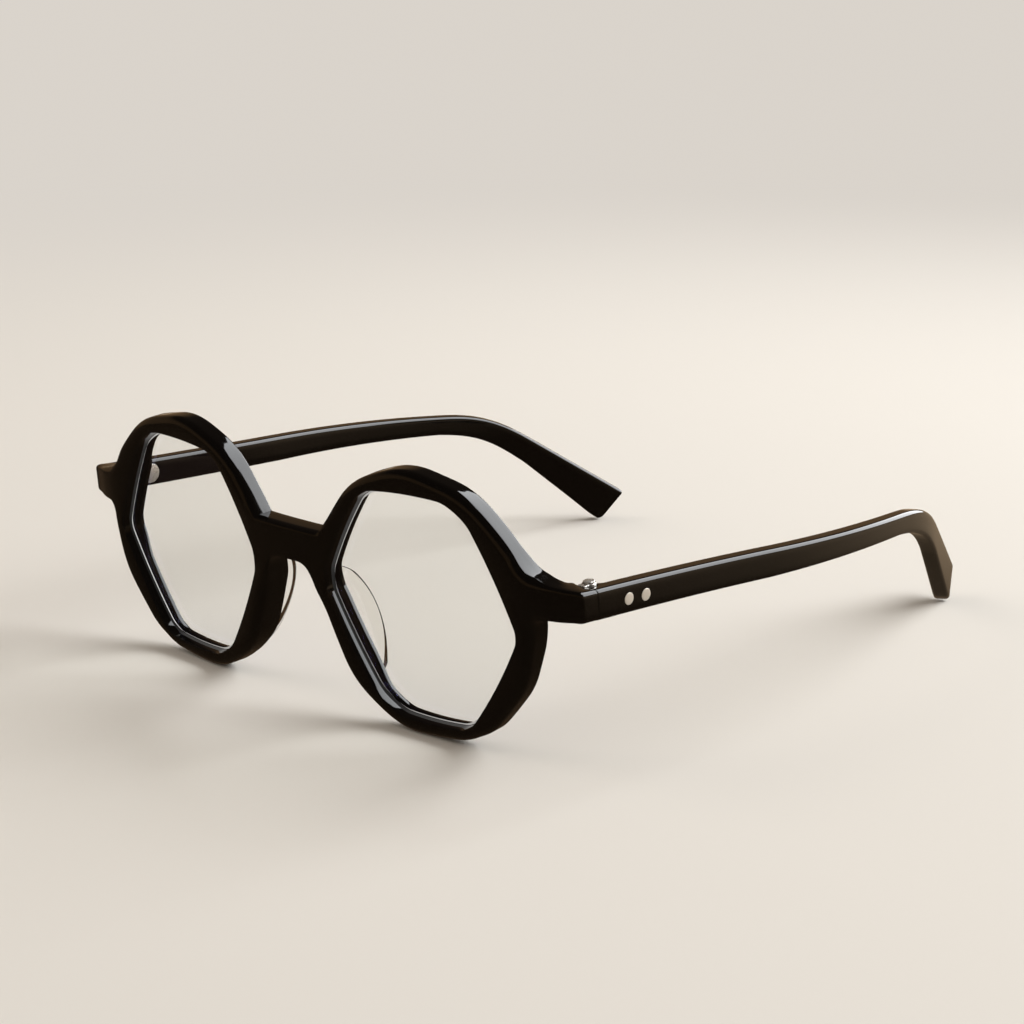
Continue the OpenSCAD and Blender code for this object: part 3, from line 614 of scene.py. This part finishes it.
def frontPlate():
    # Rings from the face round the bevel, the wall and the rounded back edge, then both openings
    # with their grooves, then the two flat faces
    f = front
    shell = Shell()
    contour, normal, wide, deep = frontContour()
    behind = f["thick"] + swelling(contour, 1)
    zero = np.zeros(len(contour))
    rows = [(wide * (1 - s), deep * (1 - c)) for s, c in quarterTurn(f["bevelSteps"])]
    rows += [(zero, blend(deep, behind - f["backRound"], share)) for share in f["walls"]]
    r = f["backRound"]
    rows += [(zero + r * (1 - c), behind - r * (1 - s)) for s, c in quarterTurn(f["backSteps"])]
    outlines = [contour - normal * inset[:, None] for inset, _ in rows]
    outer = shell.strips([placed(line, w) for line, (_, w) in zip(outlines, rows)])
    faceHoles, backHoles = [], []
    for side in (1, -1):
        loop = resample(openingDense, drawing["spacing"], closed=True)
        if side < 0:
            loop = (loop * [-1, 1])[::-1]
        grow = outwards(loop)
        behind = f["thick"] + swelling(loop, 0.5)
        g, start, stop, r = f["grooveAt"], f["grooveFrom"], behind - f["rearLip"], f["innerRound"]
        out, along = f["lipBreak"]
        section = [(f["innerWide"] * (1 - s), f["innerDeep"] * (1 - c)) for s, c in quarterTurn(f["innerSteps"])]
        section += [(0, start), (out, start + along), (f["grooveDeep"], g - f["grooveHalf"]),
                    (f["grooveDeep"], g + f["grooveHalf"]), (out, stop - along), (0, stop)]
        section += [(r * (1 - c), behind - r * (1 - s)) for s, c in quarterTurn(f["backSteps"])]
        made = shell.strips([placed(loop + grow * away, w) for away, w in section])
        faceHoles.append((loop + grow * section[0][0], made[0]))
        backHoles.append((loop + grow * section[-1][0], made[-1]))
    fillFace(shell, outlines[0], outer[0], faceHoles, 0.0)
    fillFace(shell, outlines[-1], outer[-1], backHoles, f["thick"])
    return shell


makePiece("frontBody", frontPlate(), [acetate], "front", ["front_frame"], sharp=50)
print("front made")

# Lenses
lens = {"front": 1.95, "thick": 1.6, "sag": 1.2, "gap": 0.05, "chamfer": 0.42, "ridge": 0.7, "rearBreak": 0.12,
        "spacing": 0.6, "rings": (1, 0.93, 0.84, 0.72, 0.58, 0.43, 0.28, 0.12)}


def lensShell():
    # Rings that shrink to the centre by a share k. Both faces bulge forwards by sag (1 - kk), and
    # the ridge between them sits in the groove
    loop = resample(openingDense, lens["spacing"], closed=True)
    grow = outwards(loop)
    edge = loop - grow * lens["gap"]
    centre = (loop.min(axis=0) + loop.max(axis=0)) / 2
    face, back, sag, shares = lens["front"], lens["front"] + lens["thick"], lens["sag"], lens["rings"]
    inner, rear = edge - grow * lens["chamfer"], edge - grow * lens["rearBreak"]
    rows = [(blend(centre, inner, k), face - sag * (1 - k * k)) for k in reversed(shares)]
    rows += [(edge, face + lens["chamfer"]), (edge + grow * lens["ridge"], front["grooveAt"])]
    rows += [(edge, back - lens["rearBreak"])]
    rows += [(blend(centre, rear, k), back - sag * (1 - k * k)) for k in shares]
    shell = Shell()
    # The marked strip, the front chamfer of the edge, takes the frosted edge and its painted glow
    made = shell.strips([wrapped(p, w) for p, w in rows], marked=[len(shares) - 1])
    shell.cap(made[0], wrapped(centre[None], face - sag))
    shell.cap(made[-1], wrapped(centre[None], back - sag))
    return shell


bothSides("lens", lensShell(), [clearLens, frosted], "front", "lens", sharp=38)
print("lenses made")

# Nose pads: line is the faces of each ring that form the rear edge, which is dark by painted shade
pad = {
    "from": 27.0, "to": 6.8, "reach": 6.1, "thick": 2.6, "edge": 1.3, "thin": 0.55, "splay": 18.0, "bond": 0.04,
    "rings": 60, "end": 0.004, "inset": 0.35, "least": 0.25, "lower": 0.9, "blunt": 0.5, "endThick": 0.35,
    "thicken": 2.4, "bend": 0.4, "heel": 0.9, "line": (19, 27),
    "radii": (0.02, 2.0, 0.34, 0.34, 2.0, 0.02), "cornerSteps": 6, "cornerShare": 0.45, "cornerWeight": 0.72,
}


def padRing(corners):
    # A ring round corners in space, each rounded by its radius
    k, c = pad, np.asarray(corners, float)
    parts = []
    for i, radius in enumerate(k["radii"]):
        u, v = c[i - 1] - c[i], c[(i + 1) % len(c)] - c[i]
        lu, lv = np.linalg.norm(u), np.linalg.norm(v)
        cut = min(radius, k["cornerShare"] * lu, k["cornerShare"] * lv)
        a, b = c[i] + u / lu * cut, c[i] + v / lv * cut
        parts.append(cornerCurve(a, c[i], b, k["cornerWeight"], k["cornerSteps"]))
    return np.vstack(parts)


def padShell():
    # A section of six corners carried down the rim's nose side. It stands out by the reach times
    # the root of a sine, leans away from the nose by the splay and thins to its rear edge
    k, d = pad, front["thick"]
    rings = []
    for t in np.linspace(k["end"], 1 - k["end"], k["rings"]):
        z = blend(k["from"], k["to"], t)
        rim = noseX(z)
        x = rim + k["inset"]
        root = float(swelling(np.array([[rim, z]]), 1)[0]) + k["bond"]
        rise = max(k["reach"] * math.sin(math.pi * t ** k["lower"]) ** k["blunt"], root + k["least"])
        thick = k["thick"] * min(1, k["endThick"] + k["thicken"] * math.sin(math.pi * t))
        tip = blend(thick, k["edge"], min(1, rise / k["reach"]))
        lean = rise * math.tan(math.radians(k["splay"]))
        bend, half = x + lean * k["bend"], d + (root + rise) / 2
        ring = padRing([(x, d + root, z), (bend, half, z), (x + lean + k["thin"], d + rise, z),
                        (x + lean + tip, d + rise, z), (bend + (thick + tip) / 2, half, z),
                        (x + thick, d + root * k["heel"], z)])
        rings.append(wrapped(ring[:, [0, 2]], ring[:, 1]))
    shell = Shell()
    shell.loft(rings)
    # The rear edge's faces take the second material, the painted shade
    around, (start, stop) = len(rings[0]), k["line"]
    for first in range(0, around * (len(rings) - 1), around):
        shell.kinds[first + start:first + stop] = [1] * (stop - start)
    return shell


bothSides("nosePad", padShell(), [crystal, crystalPaintedEdgeShade], "front", "nose_pad", sharp=60)
print("nose pads made")

# Temples: neckRounds are distances past the hinge's neck with the inner edges' rounding there
temple = {
    "start": 11.28, "length": 145.83, "bendAt": 92.0, "bendLong": 28.0, "thick": 3.4, "pathStep": 1.0,
    "hinge": 5.65, "middle": 5.45, "bend": 4.25, "bendEnd": 5.65, "tip": 9.0, "round": 0.85, "roundSteps": 7,
    "dip": 7.6, "dipMore": 2.2, "tipDrop": 37.0, "bowOut": 3.94, "bowIn": 12.1, "tipIn": 26.0,
    "jointInset": 0.06, "jointBreak": (0.08, 0.3), "jointRound": 0.12, "jointSteps": 6,
    "roomFrom": 0.1, "roomSteps": 10, "tongueGap": 0.02,
    "neckRounds": [(0.02, 0.2), (0.4, 0.35), (1.0, 0.6), (1.8, 0.85)],
    "sections": (6.2, 1.9, 1.3), "tipCut": 10.0, "cutFrom": 14, "cutOver": 13, "tipRound": 0.9, "tipSteps": 9,
    "tipInset": 0.82, "heel": 1.7,
}
hinge = {
    "x": 64.0, "y": 12.68, "r": 1.25, "high": 1.1, "gap": 0.06, "base": 27.2288, "relief": 0.15, "bevel": 0.07,
    "tongue": 1.7, "neck": 1.7, "web": 0.2, "webBevel": 0.05, "frontWeb": 0.1,
    "leafIn": 0.6, "leafOut": 0.04, "leafBevel": 0.04,
    "shieldFrom": 3.4, "shieldTo": 9.8, "shieldHigh": 4.0, "proud": 0.2, "plate": 0.9, "drift": 0.1, "shieldSteps": 33,
    "shieldEdge": [(0.12, 0), (0.03, 0.05), (0, 0.14)],
    "rivetAt": 8.2, "pitch": 4.4, "rivetR": 1.1, "rivetProud": 0.12, "rivetUnder": 0.5, "rearRivetIn": 0.2,
    "shankR": 0.6, "shankBevel": (0.06, 0.04), "dome": [(0, 0.35), (0.05, 0.72), (0.2, 0.93)], "domeFlat": 0.45,
    "screwR": 0.6, "screwFrom": 0.1, "screwPast": 0.01, "headR": 1.05, "slotHalf": 0.15, "arcSteps": 28,
    "headBase": [(0.04, 0), (0, 0.04), (0, 0.14)], "headTop": [(0, 0.12), (0, 0.2), (0.07, 0.28), (0.18, 0.32)],
}


def heading(s):
    # Degrees inwards at a distance along the temple: it bows out, comes in to the bend and turns in
    k = temple
    if s < k["bendAt"] / 2:
        return blend(0, -k["bowOut"], 2 * s / k["bendAt"])
    if s < k["bendAt"]:
        return blend(-k["bowOut"], k["bowIn"], 2 * s / k["bendAt"] - 1)
    return blend(k["bowIn"], k["tipIn"], float(ramp(s, k["bendAt"], k["bendLong"])))


def slope(s):
    # Degrees downwards: nearly even up to the bend, then steeper
    k = temple
    if s < k["bendAt"]:
        return k["dip"] + k["dipMore"] * (max(s, 0) / k["bendAt"]) ** 3
    return blend(k["dip"] + k["dipMore"], k["tipDrop"], float(ramp(s, k["bendAt"], k["bendLong"])))


def direction(s):
    # Backwards, turned inwards by the heading and downwards by the slope
    h, d = math.radians(heading(s)), math.radians(slope(s))
    return np.array([-math.sin(h) * math.cos(d), math.cos(h) * math.cos(d), -math.sin(d)])


def upward(s):
    # Square to the direction and nearest to Z
    d = direction(s)
    return unit(np.array([0, 0, 1]) - d * d[2])


def outward(s):
    return np.cross(direction(s), upward(s))


# The temple's upper outer edge: steps of an even length, each along the direction at its middle
rootDrop = (temple["start"] - endPiece["cornerY"]) * math.tan(math.radians(temple["dip"]))
edgeStart = np.array([endPiece["x"], temple["start"], endPiece["top"] - rootDrop])
stepMiddles = (np.arange(int(temple["length"] / temple["pathStep"])) + 0.5) * temple["pathStep"]
edgeSteps = np.array([direction(s) for s in stepMiddles]) * temple["pathStep"]
edgePath = np.vstack([edgeStart, edgeStart + np.cumsum(edgeSteps, axis=0)])


def onPath(s):
    # A smooth cubic between the path's points, with each point's slope taken from its neighbours
    p, t = edgePath, s / temple["pathStep"]
    i = min(int(t), len(p) - 2)
    a, b, t = p[i], p[i + 1], t - i
    before, after = p[max(i - 1, 0)], p[min(i + 2, len(p) - 1)]
    leave = (b - before) / (2 if i > 0 else 1)
    arrive = (after - a) / (2 if i + 2 < len(p) else 1)
    ends = (2 * t ** 3 - 3 * t * t + 1) * a + (3 * t * t - 2 * t ** 3) * b
    return ends + (t ** 3 - 2 * t * t + t) * leave + (t ** 3 - t * t) * arrive


def templeHigh(s):
    # Heights at five places, with straight lines between
    k = temple
    stations = [0, k["bendAt"] / 2, k["bendAt"], k["bendAt"] + k["bendLong"], k["length"]]
    return float(np.interp(s, stations, [k["hinge"], k["middle"], k["bend"], k["bendEnd"], k["tip"]]))


def inTemple(s, inward, down):
    # Points at distances inwards and down from the upper outer edge
    return onPath(s) - np.outer(inward, outward(s)) - np.outer(down, upward(s))


def templeSection(s, inset=0.0, thick=temple["thick"], innerRound=temple["round"]):
    # Four quarter circles with straight sides between them, the inner two of their own radius
    high, k = templeHigh(s), temple
    quarters = []
    for i in range(4):
        radius = k["round"] if i in (1, 2) else innerRound
        centre = np.array([thick - radius if i in (0, 3) else radius, radius if i < 2 else high - radius])
        a = np.radians(-90 * i - np.linspace(0, 90, k["roundSteps"] + 1))
        quarters.append(centre + (radius - inset) * np.column_stack([np.cos(a), np.sin(a)]))
    shares = np.array([[0.25], [0.5], [0.75]])
    sides = [blend(here[-1], there[0], shares) for here, there in zip(quarters, quarters[1:] + quarters[:1])]
    flat = np.vstack([part for both in zip(quarters, sides) for part in both])
    return inTemple(s, flat[:, 0], flat[:, 1])


def toPlane(ring, y):
    # Slides a ring along the temple's first direction on to a plane across Y
    d = direction(0)
    return ring + np.outer((y - ring[:, 1]) / d[1], d)


def slanted(s, inset=0.0):
    # A section near the tip, leant by the tip's cut and with its lower edge rounded up at the heel
    k, up = temple, upward(s)
    ring = templeSection(s, inset)
    middle = inTemple(s, 0, templeHigh(s) / 2)
    amount = math.tan(math.radians(k["tipCut"])) * float(ramp(s, k["length"] - k["cutFrom"], k["cutOver"]))
    turn = max(0, s - k["length"] + k["heel"])
    drop = np.minimum(0, (ring - middle) @ up) / (templeHigh(s) / 2)
    ring = ring - np.outer(drop * (k["heel"] - math.sqrt(k["heel"] ** 2 - turn ** 2)), up)
    return ring + np.outer((ring - middle) @ up * amount, direction(s))


def templeShell():
    # Sections along the path. The first ones are cut across the joint, with room for the knuckles
    # on their inner side, and the last ones are slanted
    k, h = temple, hinge
    room = h["r"] + h["relief"]
    start, neckY = k["start"], h["y"] + room

    def thickAt(y):
        if y < h["y"]:
            return endPiece["x"] - (h["x"] + room)
        across = math.sqrt(max(0.0, room * room - (y - h["y"]) ** 2))
        return endPiece["x"] - h["x"] - max(across, h["tongue"] / 2 + k["tongueGap"])

    places = [[start, start + k["jointBreak"][0]], np.linspace(start + k["jointBreak"][1], h["y"], k["jointSteps"]),
              np.linspace(h["y"] + k["roomFrom"], neckY, k["roomSteps"])]
    rings = []
    for y in np.concatenate(places):
        inset = k["jointInset"] if y == start else 0.0
        rings.append(toPlane(templeSection(0, inset, thickAt(y), k["jointRound"]), y))
    rings += [toPlane(templeSection(0, innerRound=r), neckY + past) for past, r in k["neckRounds"]]
    first, left, step = k["sections"]
    rings += [slanted(s) for s in np.arange(first, k["length"] - left, step)]
    for sine, cosine in quarterTurn(k["tipSteps"]):
        inset = min(k["tipRound"] * (1 - cosine), k["tipInset"])
        rings.append(slanted(k["length"] - k["tipRound"] * (1 - sine), inset))
    shell = Shell()
    shell.loft(rings)
    return shell


bothSides("temple", templeShell(), [acetate], "temple", "temple", sharp=50)
print("temples made")


# Hinges
def knuckleZ(i):
    # Foot of a knuckle: each is its height and a gap above the last
    return hinge["base"] + i * (hinge["high"] + hinge["gap"])


def turned(shell, profile, place, steps=40):
    # Circles of each radius at each height of the profile; place maps across, across and along
    a = np.linspace(0, 2 * math.pi, steps, endpoint=False)
    shell.loft([place(r * np.cos(a), r * np.sin(a), np.full(steps, along)) for r, along in profile])


def onAxis(x, y, z):
    # Measured from the screw's axis
    return np.column_stack([hinge["x"] + x, hinge["y"] + y, z])


def tonguePlate(shell, ys, zs, edge):
    # A plate of the tongue's thickness, with small bevels on all its edges
    x0, x1 = hinge["x"] - hinge["tongue"] / 2, hinge["x"] + hinge["tongue"] / 2
    rings = []
    for z, inset in ((zs[0], edge), (zs[0] + edge, 0), (zs[1] - edge, 0), (zs[1], edge)):
        a, b, c, d = x0 + inset, x1 - inset, ys[0] + inset, ys[1] - inset
        flat = [(a + edge, c), (b - edge, c), (b, c + edge), (b, d - edge),
                (b - edge, d), (a + edge, d), (a, d - edge), (a, c + edge)]
        rings.append([(x, y, z) for x, y in flat])
    shell.loft(rings)


jointOut, jointAlong, jointUp = outward(0), direction(0), upward(0)
jointMiddle = onPath(0) - jointUp * temple["hinge"] / 2


def atJoint(x, y, z):
    # Outwards, along and up from the temple's middle at the joint
    return jointMiddle + jointOut * x + np.outer(y, jointAlong) + np.outer(z - hinge["drift"], jointUp)


def knuckles(shell, which, webTo):
    # Bevelled barrels round the screw, each with a web to its leaf
    h, c = hinge, hinge["bevel"]
    for i in which:
        z0, z1 = knuckleZ(i), knuckleZ(i) + h["high"]
        turned(shell, [(h["r"] - c, z0), (h["r"], z0 + c), (h["r"], z1 - c), (h["r"] - c, z1)], onAxis)
        tonguePlate(shell, sorted([h["y"], webTo]), (z0, z1), h["webBevel"])


def frontLeafShell():
    # Three knuckles and a plate let into the end piece's back
    h, joint = hinge, endPiece["joint"]
    shell = Shell()
    knuckles(shell, (0, 2, 4), joint - h["frontWeb"])
    zs = (h["base"], knuckleZ(4) + h["high"])
    tonguePlate(shell, (joint - h["leafIn"], joint + h["leafOut"]), zs, h["leafBevel"])
    return shell


def templeLeafShell():
    # Two knuckles, the neck between them and the temple, and a shield with one round end
    h = hinge
    shell = Shell()
    neckY = h["y"] + h["r"] + h["relief"]
    knuckles(shell, (1, 3), neckY + h["web"])
    tonguePlate(shell, (neckY, neckY + h["neck"]), (knuckleZ(1), knuckleZ(3) + h["high"]), h["bevel"])
    r = h["shieldHigh"] / 2
    a = np.linspace(0, math.pi, h["shieldSteps"])
    roundEnd = np.column_stack([h["shieldTo"] - r + r * np.sin(a), r * np.cos(a)])
    around = np.vstack([[(h["shieldFrom"], -r), (h["shieldFrom"], r)], roundEnd])
    centre = np.array([(h["shieldFrom"] + h["shieldTo"]) / 2, 0])
    back = -temple["thick"] - h["proud"]
    rings = []
    for x, inset in [(h["plate"], 0)] + h["shieldEdge"]:
        shrunk = blend(centre, around, 1 - inset / r)
        rings.append(atJoint(back + x, shrunk[:, 0], shrunk[:, 1]))
    shell.loft(rings)
    return shell


def rivetShell(at, throughTo):
    # A low domed head outside the temple, and a shank through to a depth
    h = hinge
    r, p, under = h["rivetR"], h["rivetProud"], -h["rivetUnder"]
    foot = jointMiddle + jointAlong * at + jointOut * ((onPath(at) - jointMiddle) @ jointOut) - jointUp * h["drift"]
    axes = np.array([direction(at), upward(at), outward(at)])

    def place(a, b, along):
        return foot + np.column_stack([a, b, along]) @ axes

    shell = Shell()
    dome = [(r - inset, p * share) for inset, share in h["dome"]]
    turned(shell, [(r, under)] + dome + [(r * h["domeFlat"], p)], place, steps=48)
    inset, above = h["shankBevel"]
    shank = [(h["shankR"], under), (h["shankR"], throughTo + above), (h["shankR"] - inset, throughTo)]
    turned(shell, shank, place, steps=36)
    return shell


def screwShell():
    # The shank, a thin head, and two segments of a disc on it with the slot between them
    h = hinge
    top, r = knuckleZ(5), h["headR"]
    shell = Shell()
    turned(shell, [(h["screwR"], h["base"] + h["screwFrom"]), (h["screwR"], top + h["screwPast"])], onAxis, steps=32)
    turned(shell, [(r - inset, top + z) for inset, z in h["headBase"]], onAxis, steps=48)
    for side in (1, -1):
        rings = []
        for inset, z in h["headTop"]:
            start = math.asin(h["slotHalf"] / (r - inset))
            a = np.linspace(start, math.pi - start, h["arcSteps"])
            x, y = (r - inset) * np.cos(a), side * (r - inset) * np.sin(a)
            rings.append(onAxis(x, y, np.full(len(a), top + z)))
        shell.loft(rings)
    return shell


frontRivet = rivetShell(hinge["rivetAt"], -temple["thick"] - hinge["proud"])
rearRivet = rivetShell(hinge["rivetAt"] + hinge["pitch"], -temple["thick"] + hinge["rearRivetIn"])
bothSides("frontLeaf", frontLeafShell(), [nickel], "front", "front_leaf", sharp=32)
bothSides("templeLeaf", templeLeafShell(), [nickel], "temple", "temple_leaf", sharp=32)
bothSides("hingeScrew", screwShell(), [nickel], "front", "hinge_screw", sharp=32)
bothSides("frontRivet", frontRivet, [pale], "temple", "front_rivet", sharp=32)
bothSides("rearRivet", rearRivet, [pale], "temple", "rear_rivet", sharp=32)

# The core wires keep their CAD solids. The others take a material too, though a piece hides each
solidFinish = {"front_frame": acetate, "temple": acetate, "lens": clearLens, "nose_pad": crystal, "core_wire": wire}
for name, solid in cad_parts.items():
    part = name.removesuffix("_left").removesuffix("_right")
    solid.data.materials.clear()
    solid.data.materials.append(solidFinish.get(part, nickel))
print("hinges made")

# Floor: pale and lit near the glasses, so that it takes their shadow, an even tone farther off,
# and a darker warm tone for what the gloss of the acetate reflects
floorLook = {
    "colour": (0.8, 0.745, 0.68), "rough": 0.6, "far": (0.70, 0.655, 0.60, 1), "farFrom": 0.2, "farTo": 0.75,
    "mirrorNear": (0.078, 0.05, 0.029, 1), "mirrorFar": (0.58, 0.43, 0.28, 1), "warmTowards": (0.41, 0.91, 0),
    "warmFrom": 0.05, "warmTo": 0.175, "half": 8, "under": 0.00002,
}


def floorMaterial():
    f = floorLook
    m, tree = newMaterial("floor", f["colour"])
    lit = plainShader(tree, f["colour"], f["rough"])
    setInputs(tree, lit, {"Specular IOR Level": 0})
    place, path = addNode(tree, "TexCoord", "Object"), tree.nodes.new("ShaderNodeLightPath").outputs
    distance = addNode(tree, "VectorMath", "Value", {0: place}, operation="LENGTH")
    reach = spread(tree, distance, 0, 1, f["farFrom"], f["farTo"], interpolation_type="SMOOTHSTEP")
    seen = addNode(tree, "Math", "Value", {0: reach, 1: path["Is Camera Ray"]}, operation="MULTIPLY")
    far = addNode(tree, "Emission", "Emission", {"Color": f["far"]})
    towards = addNode(tree, "VectorMath", "Value", {0: place, 1: f["warmTowards"]}, operation="DOT_PRODUCT")
    warmth = spread(tree, towards, 0, 1, f["warmFrom"], f["warmTo"])
    tone = mixColours(tree, warmth, f["mirrorNear"], f["mirrorFar"])
    mirror = addNode(tree, "Emission", "Emission", {"Color": tone})
    rays = {0: path["Is Glossy Ray"], 1: path["Is Transmission Ray"]}
    inGloss = addNode(tree, "Math", "Value", rays, operation="SUBTRACT", use_clamp=True)
    plain = mixShaders(tree, seen, lit.outputs["BSDF"], far)
    showShader(tree, mixShaders(tree, inGloss, plain, mirror))
    return m


half = floorLook["half"]
floorMesh = bpy.data.meshes.new("floor")
floorMesh.from_pydata([(-half, -half, 0), (half, -half, 0), (half, half, 0), (-half, half, 0)], [], [(0, 1, 2, 3)])
floorMesh.materials.append(floorMaterial())
floor = bpy.data.objects.new("floor", floorMesh)
floor.location = (0, 0, -floorLook["under"])
scene.collection.objects.link(floor)
floor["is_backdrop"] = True


def posed(x, y, z, place):
    # A matrix with the given axes and place
    m = Matrix((x, y, z)).transposed().to_4x4()
    m.translation = place
    return m


# Lights: each as the way to it from the glasses, its distance and its size
aim = Vector((0, -0.02, 0.03))
lamps = {
    "window": {"towards": (0.36, 0.72, 0.56), "distance": 1.5, "size": (1.5, 0.85),
               "radiance": 23.5, "colour": (0.93, 0.97, 1.0)},
    "fill": {"towards": (-0.8, -0.5, 0.7), "distance": 1.8, "size": (1.2, 1.2),
             "radiance": 3.5, "colour": (1.0, 0.94, 0.86)},
}
# The window's reflection in the gloss, as two panes of one plane. A pane's place and size are in
# parts of the distance, along the plane's own directions
glow = {
    "middle": (0.3165, 0.766, 0.5594), "along": (-0.870, 0, 0.492), "turn": (-0.826, 0.563), "distance": 6,
    "radiance": 17.5, "colour": (0.96, 0.98, 1.0),
    "panes": {"windowGlow": (0.0599, -0.077, 1.3, 0.905), "windowGlowTop": (0.1583, 0.7329, 0.85, 0.545)},
}


def softbox(name, place, across, toward, width, height, radiance, colour):
    # A rectangular light at a place, its width along across, facing along toward
    data = bpy.data.lights.new(name, "AREA")
    data.shape = "RECTANGLE"
    data.size, data.size_y = width, height
    data.energy = radiance * width * height
    data.color = colour
    light = bpy.data.objects.new(name, data)
    z = -Vector(toward).normalized()
    x = Vector(across)
    x = (x - z * x.dot(z)).normalized()
    light.matrix_world = posed(x, z.cross(x), z, place)
    scene.collection.objects.link(light)
    return light


# The lamps light the floor and cast the shadows, and only the panes are seen in the gloss
for name, lamp in lamps.items():
    d = Vector(lamp["towards"]).normalized()
    place = aim + d * lamp["distance"]
    light = softbox(name, place, (-d.y, d.x, 0), -d, *lamp["size"], lamp["radiance"], lamp["colour"])
    light.visible_glossy = False
middle, alongU, far = Vector(glow["middle"]), Vector(glow["along"]), glow["distance"]
alongV = alongU.cross(middle)
across = alongU * glow["turn"][0] + alongV * glow["turn"][1]
for name, (u, v, width, height) in glow["panes"].items():
    place = aim + far * (middle + alongU * u + alongV * v)
    light = softbox(name, place, across, -middle, far * width, far * height, glow["radiance"], glow["colour"])
    light.visible_diffuse = False
    light.visible_camera = False

# World: an even warm light, seen in the gloss as a brown that darkens upwards
sky = {"colour": (1.0, 0.93, 0.84, 1), "strength": 0.35, "low": (0.22, 0.135, 0.07, 1),
       "high": (0.045, 0.032, 0.024, 1), "from": 0.3, "to": 0.5}
world = bpy.data.worlds.new("studio")
scene.world = world
world.use_nodes = True
tree = world.node_tree
even = tree.nodes["Background"]
setInputs(tree, even, {"Color": sky["colour"], "Strength": sky["strength"]})
upwards = addNode(tree, "SeparateXYZ", "Z", {0: addNode(tree, "TexCoord", "Generated")})
tone = mixColours(tree, spread(tree, upwards, 0, 1, sky["from"], sky["to"]), sky["low"], sky["high"])
inGloss = addNode(tree, "Background", "Background", {"Color": tone})
isGloss = addNode(tree, "LightPath", "Is Glossy Ray")
showShader(tree, mixShaders(tree, isGloss, even.outputs["Background"], inGloss), "World Output")

# Camera, with the focal length in pixels of the frame
view = {"azimuth": 43.724, "elevation": 14.566, "roll": 0.137, "place": (0.333286, -0.361622, 0.151049),
        "focal": 2462.41, "frame": 1024, "sensor": 36, "clip": (0.01, 50)}
az, el, ro = (math.radians(view[k]) for k in ("azimuth", "elevation", "roll"))
right = Vector((math.cos(az), math.sin(az), 0))
back = Vector((math.sin(az) * math.cos(el), -math.cos(az) * math.cos(el), math.sin(el)))
up = back.cross(right)
cameraData = bpy.data.cameras.new("camera")
cameraData.sensor_width = view["sensor"]
cameraData.lens = view["focal"] / view["frame"] * view["sensor"]
cameraData.clip_start, cameraData.clip_end = view["clip"]
camera = bpy.data.objects.new("camera", cameraData)
rolledRight, rolledUp = right * math.cos(ro) + up * math.sin(ro), up * math.cos(ro) - right * math.sin(ro)
camera.matrix_world = posed(rolledRight, rolledUp, back, view["place"])
scene.collection.objects.link(camera)
scene.camera = camera
scene.view_settings.view_transform = "Standard"
print("stage made")


def corners(b):
    return [[float(v) for v in c] for c in b]


{"cad": corners(cadBounds), "visual": corners(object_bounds())}
